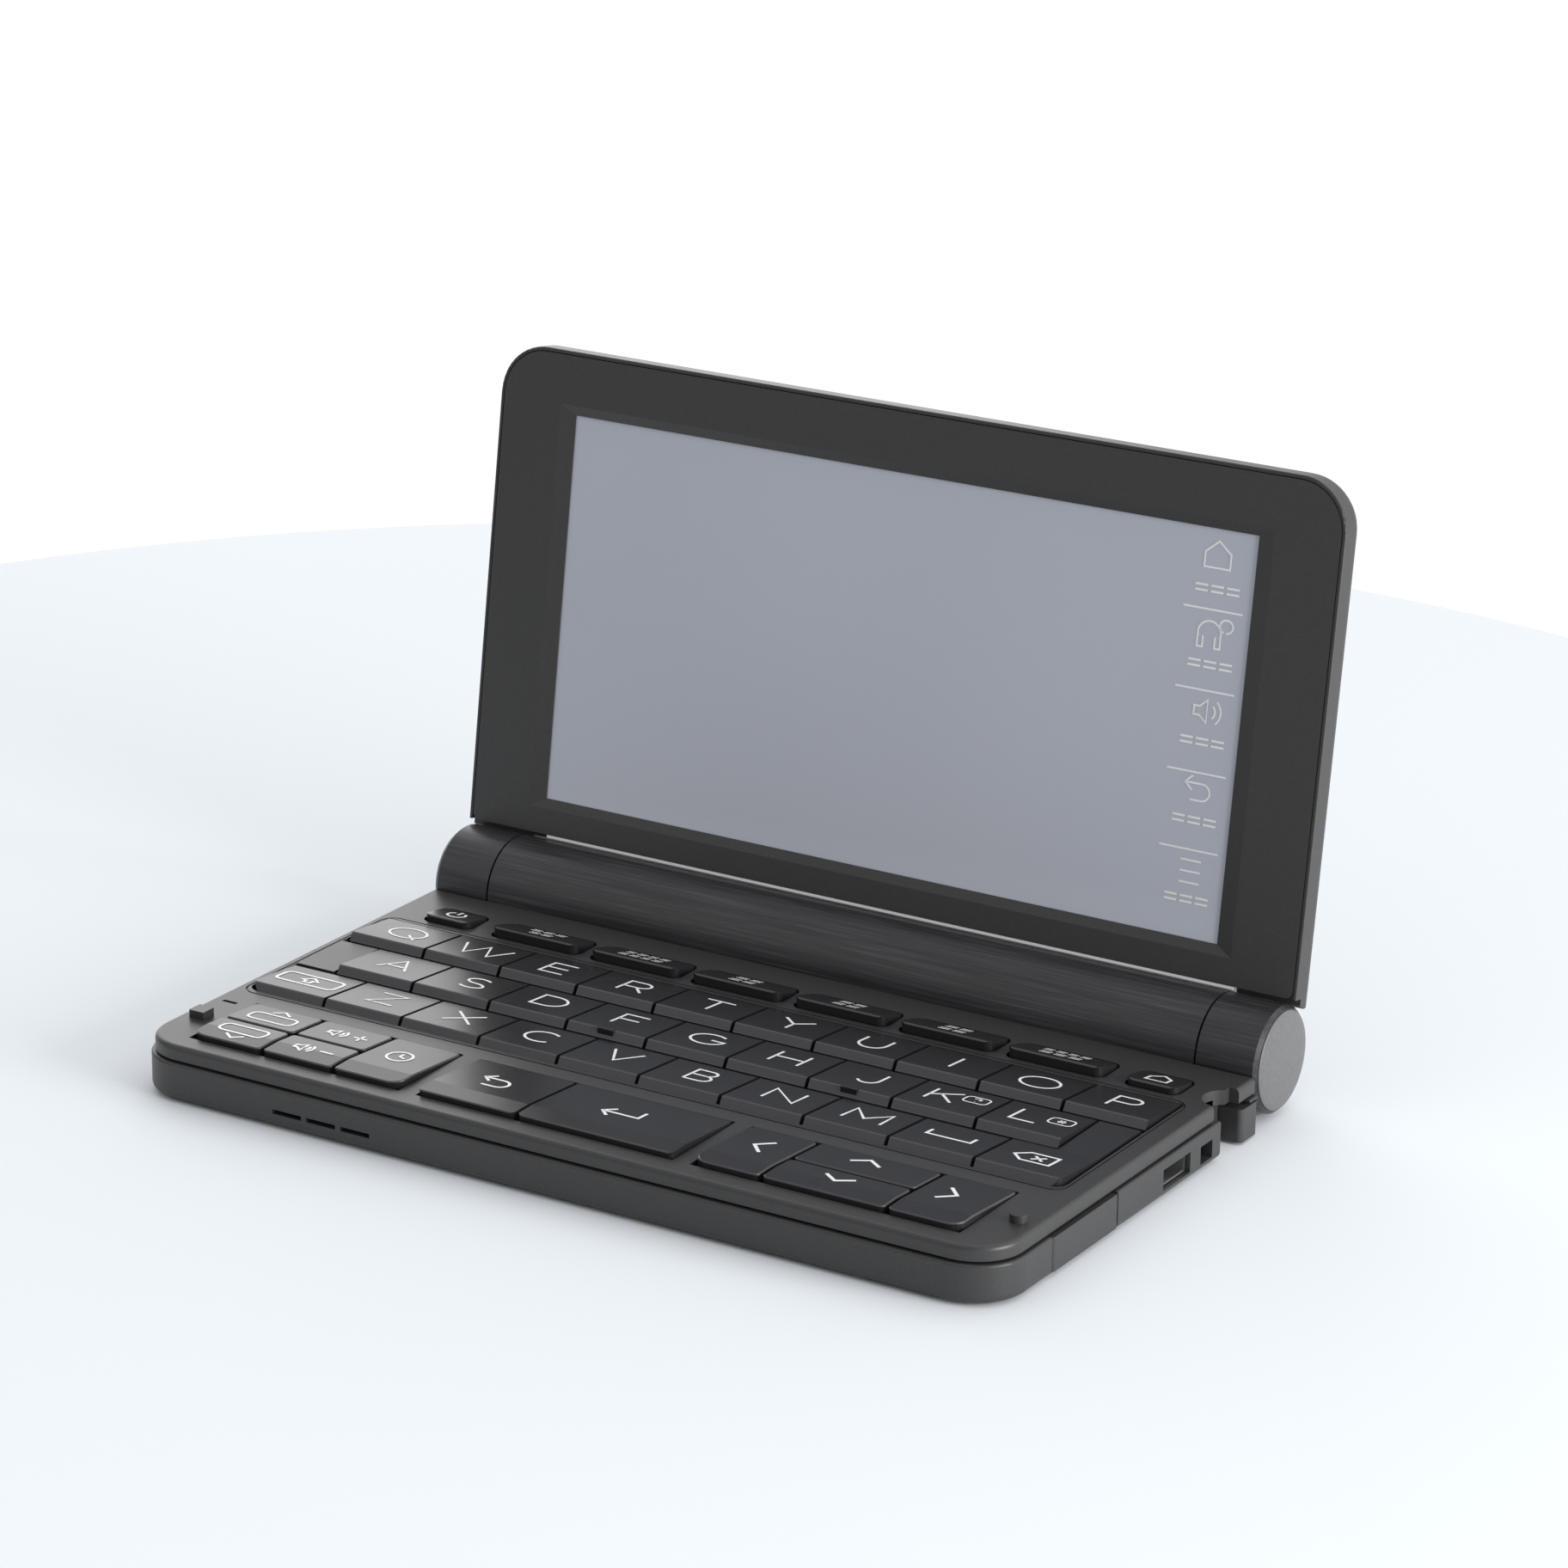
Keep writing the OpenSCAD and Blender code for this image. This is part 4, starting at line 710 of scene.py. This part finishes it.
def painted_highlight_strip():
    n = len(STRIP_SECTION)
    verts = [[c * MM for c in on_lid(x, y, u)] for x in (STRIP_LEFT, STRIP_RIGHT) for y, u in STRIP_SECTION]
    faces = [(i, (i + 1) % n, n + (i + 1) % n, n + i) for i in range(n)]
    faces += [tuple(range(n - 1, -1, -1)), tuple(range(n, 2 * n))]
    mesh = bpy.data.meshes.new("painted_highlight_strip")
    mesh.from_pydata(verts, [], faces)
    work = bmesh.new()
    work.from_mesh(mesh)
    bmesh.ops.recalc_face_normals(work, faces=work.faces)
    work.to_mesh(mesh)
    work.free()
    obj = new_piece(mesh, PAINTED_HIGHLIGHT)
    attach(obj, "lid")


painted_highlight_strip()


# ---- Studio: round white turntable, surroundings brightest behind it, three lamps, camera ----

TABLE_R = 0.2506
TABLE_T = 0.01
TABLE_AT = (-0.0435, 0.0314, -TABLE_T / 2)


def table_look():
    m, nodes, links = new_material("turntable_look")
    out = nodes.new("ShaderNodeOutputMaterial")
    diffuse = nodes.new("ShaderNodeBsdfDiffuse")
    diffuse.inputs["Color"].default_value = (0.86, 0.895, 0.93, 1)
    links.new(diffuse.outputs["BSDF"], out.inputs["Surface"])
    return m


bpy.ops.mesh.primitive_cylinder_add(vertices=256, radius=TABLE_R, depth=TABLE_T, location=TABLE_AT)
table = bpy.context.active_object
table.name = "turntable"
table.data.materials.append(table_look())

# Where the surroundings are brightest, and their strength in front and behind
BRIGHT_SIDE = Vector((0.3, 0.92, 0.25)).normalized()
DIM, BRIGHT = 0.33, 1.04

world = bpy.data.worlds.new("studio")
bpy.context.scene.world = world
world.use_nodes = True
world_nodes, world_links = world.node_tree.nodes, world.node_tree.links
world_nodes.clear()
world_out = world_nodes.new("ShaderNodeOutputWorld")
background = world_nodes.new("ShaderNodeBackground")
background.inputs["Color"].default_value = (0.98, 0.99, 1.0, 1)
direction = world_nodes.new("ShaderNodeTexCoord")
along = world_nodes.new("ShaderNodeVectorMath")
along.operation = "DOT_PRODUCT"
along.inputs[1].default_value = BRIGHT_SIDE
level = world_nodes.new("ShaderNodeMapRange")
level.interpolation_type = "SMOOTHSTEP"
level.inputs["From Min"].default_value = -0.5
level.inputs["From Max"].default_value = 0.4
level.inputs["To Min"].default_value = DIM
level.inputs["To Max"].default_value = BRIGHT
world_links.new(direction.outputs["Generated"], along.inputs[0])
world_links.new(along.outputs["Value"], level.inputs["Value"])
world_links.new(level.outputs["Result"], background.inputs["Strength"])
world_links.new(background.outputs["Background"], world_out.inputs["Surface"])


def area(name, place, target, size, power):
    """Rectangular lamp at a place, turned to a target."""
    light = bpy.data.lights.new(name, "AREA")
    light.shape = "RECTANGLE"
    light.size, light.size_y = size
    light.energy = power
    obj = bpy.data.objects.new(name, light)
    obj.location = place
    obj.rotation_euler = (Vector(target) - Vector(place)).to_track_quat("-Z", "Y").to_euler()
    bpy.context.scene.collection.objects.link(obj)


area("side_light", (0.9, -0.05, 0.17), (0, 0, 0.03), (0.5, 0.5), 9.0)
area("back_left_light", (-0.7, 0.66, 0.34), (0, 0, 0.02), (0.8, 0.6), 2.3)
area("front_left_light", (-0.5, -0.56, 0.52), (0, 0, 0.03), (0.6, 0.6), 0.6)

# The photograph's point of view
CAMERA_AT = (0.40836, -0.65325, 0.31148)
CAMERA_FORWARD = (-0.49500532, 0.80620304, -0.32404689)
CAMERA_UP = (-0.17939662, 0.27007945, 0.94597777)

camera_data = bpy.data.cameras.new("camera")
camera_data.lens = 127.38
camera_data.sensor_width = 36.0
camera_data.clip_start = 0.05
camera_data.clip_end = 20.0
camera = bpy.data.objects.new("camera", camera_data)
forward = Vector(CAMERA_FORWARD).normalized()
right = forward.cross(Vector(CAMERA_UP).normalized()).normalized()
up = right.cross(forward)
camera.matrix_world = Matrix((
    (right.x, up.x, -forward.x, CAMERA_AT[0]),
    (right.y, up.y, -forward.y, CAMERA_AT[1]),
    (right.z, up.z, -forward.z, CAMERA_AT[2]),
    (0, 0, 0, 1),
))
bpy.context.scene.collection.objects.link(camera)
bpy.context.scene.camera = camera
bpy.context.scene.view_settings.view_transform = "Standard"
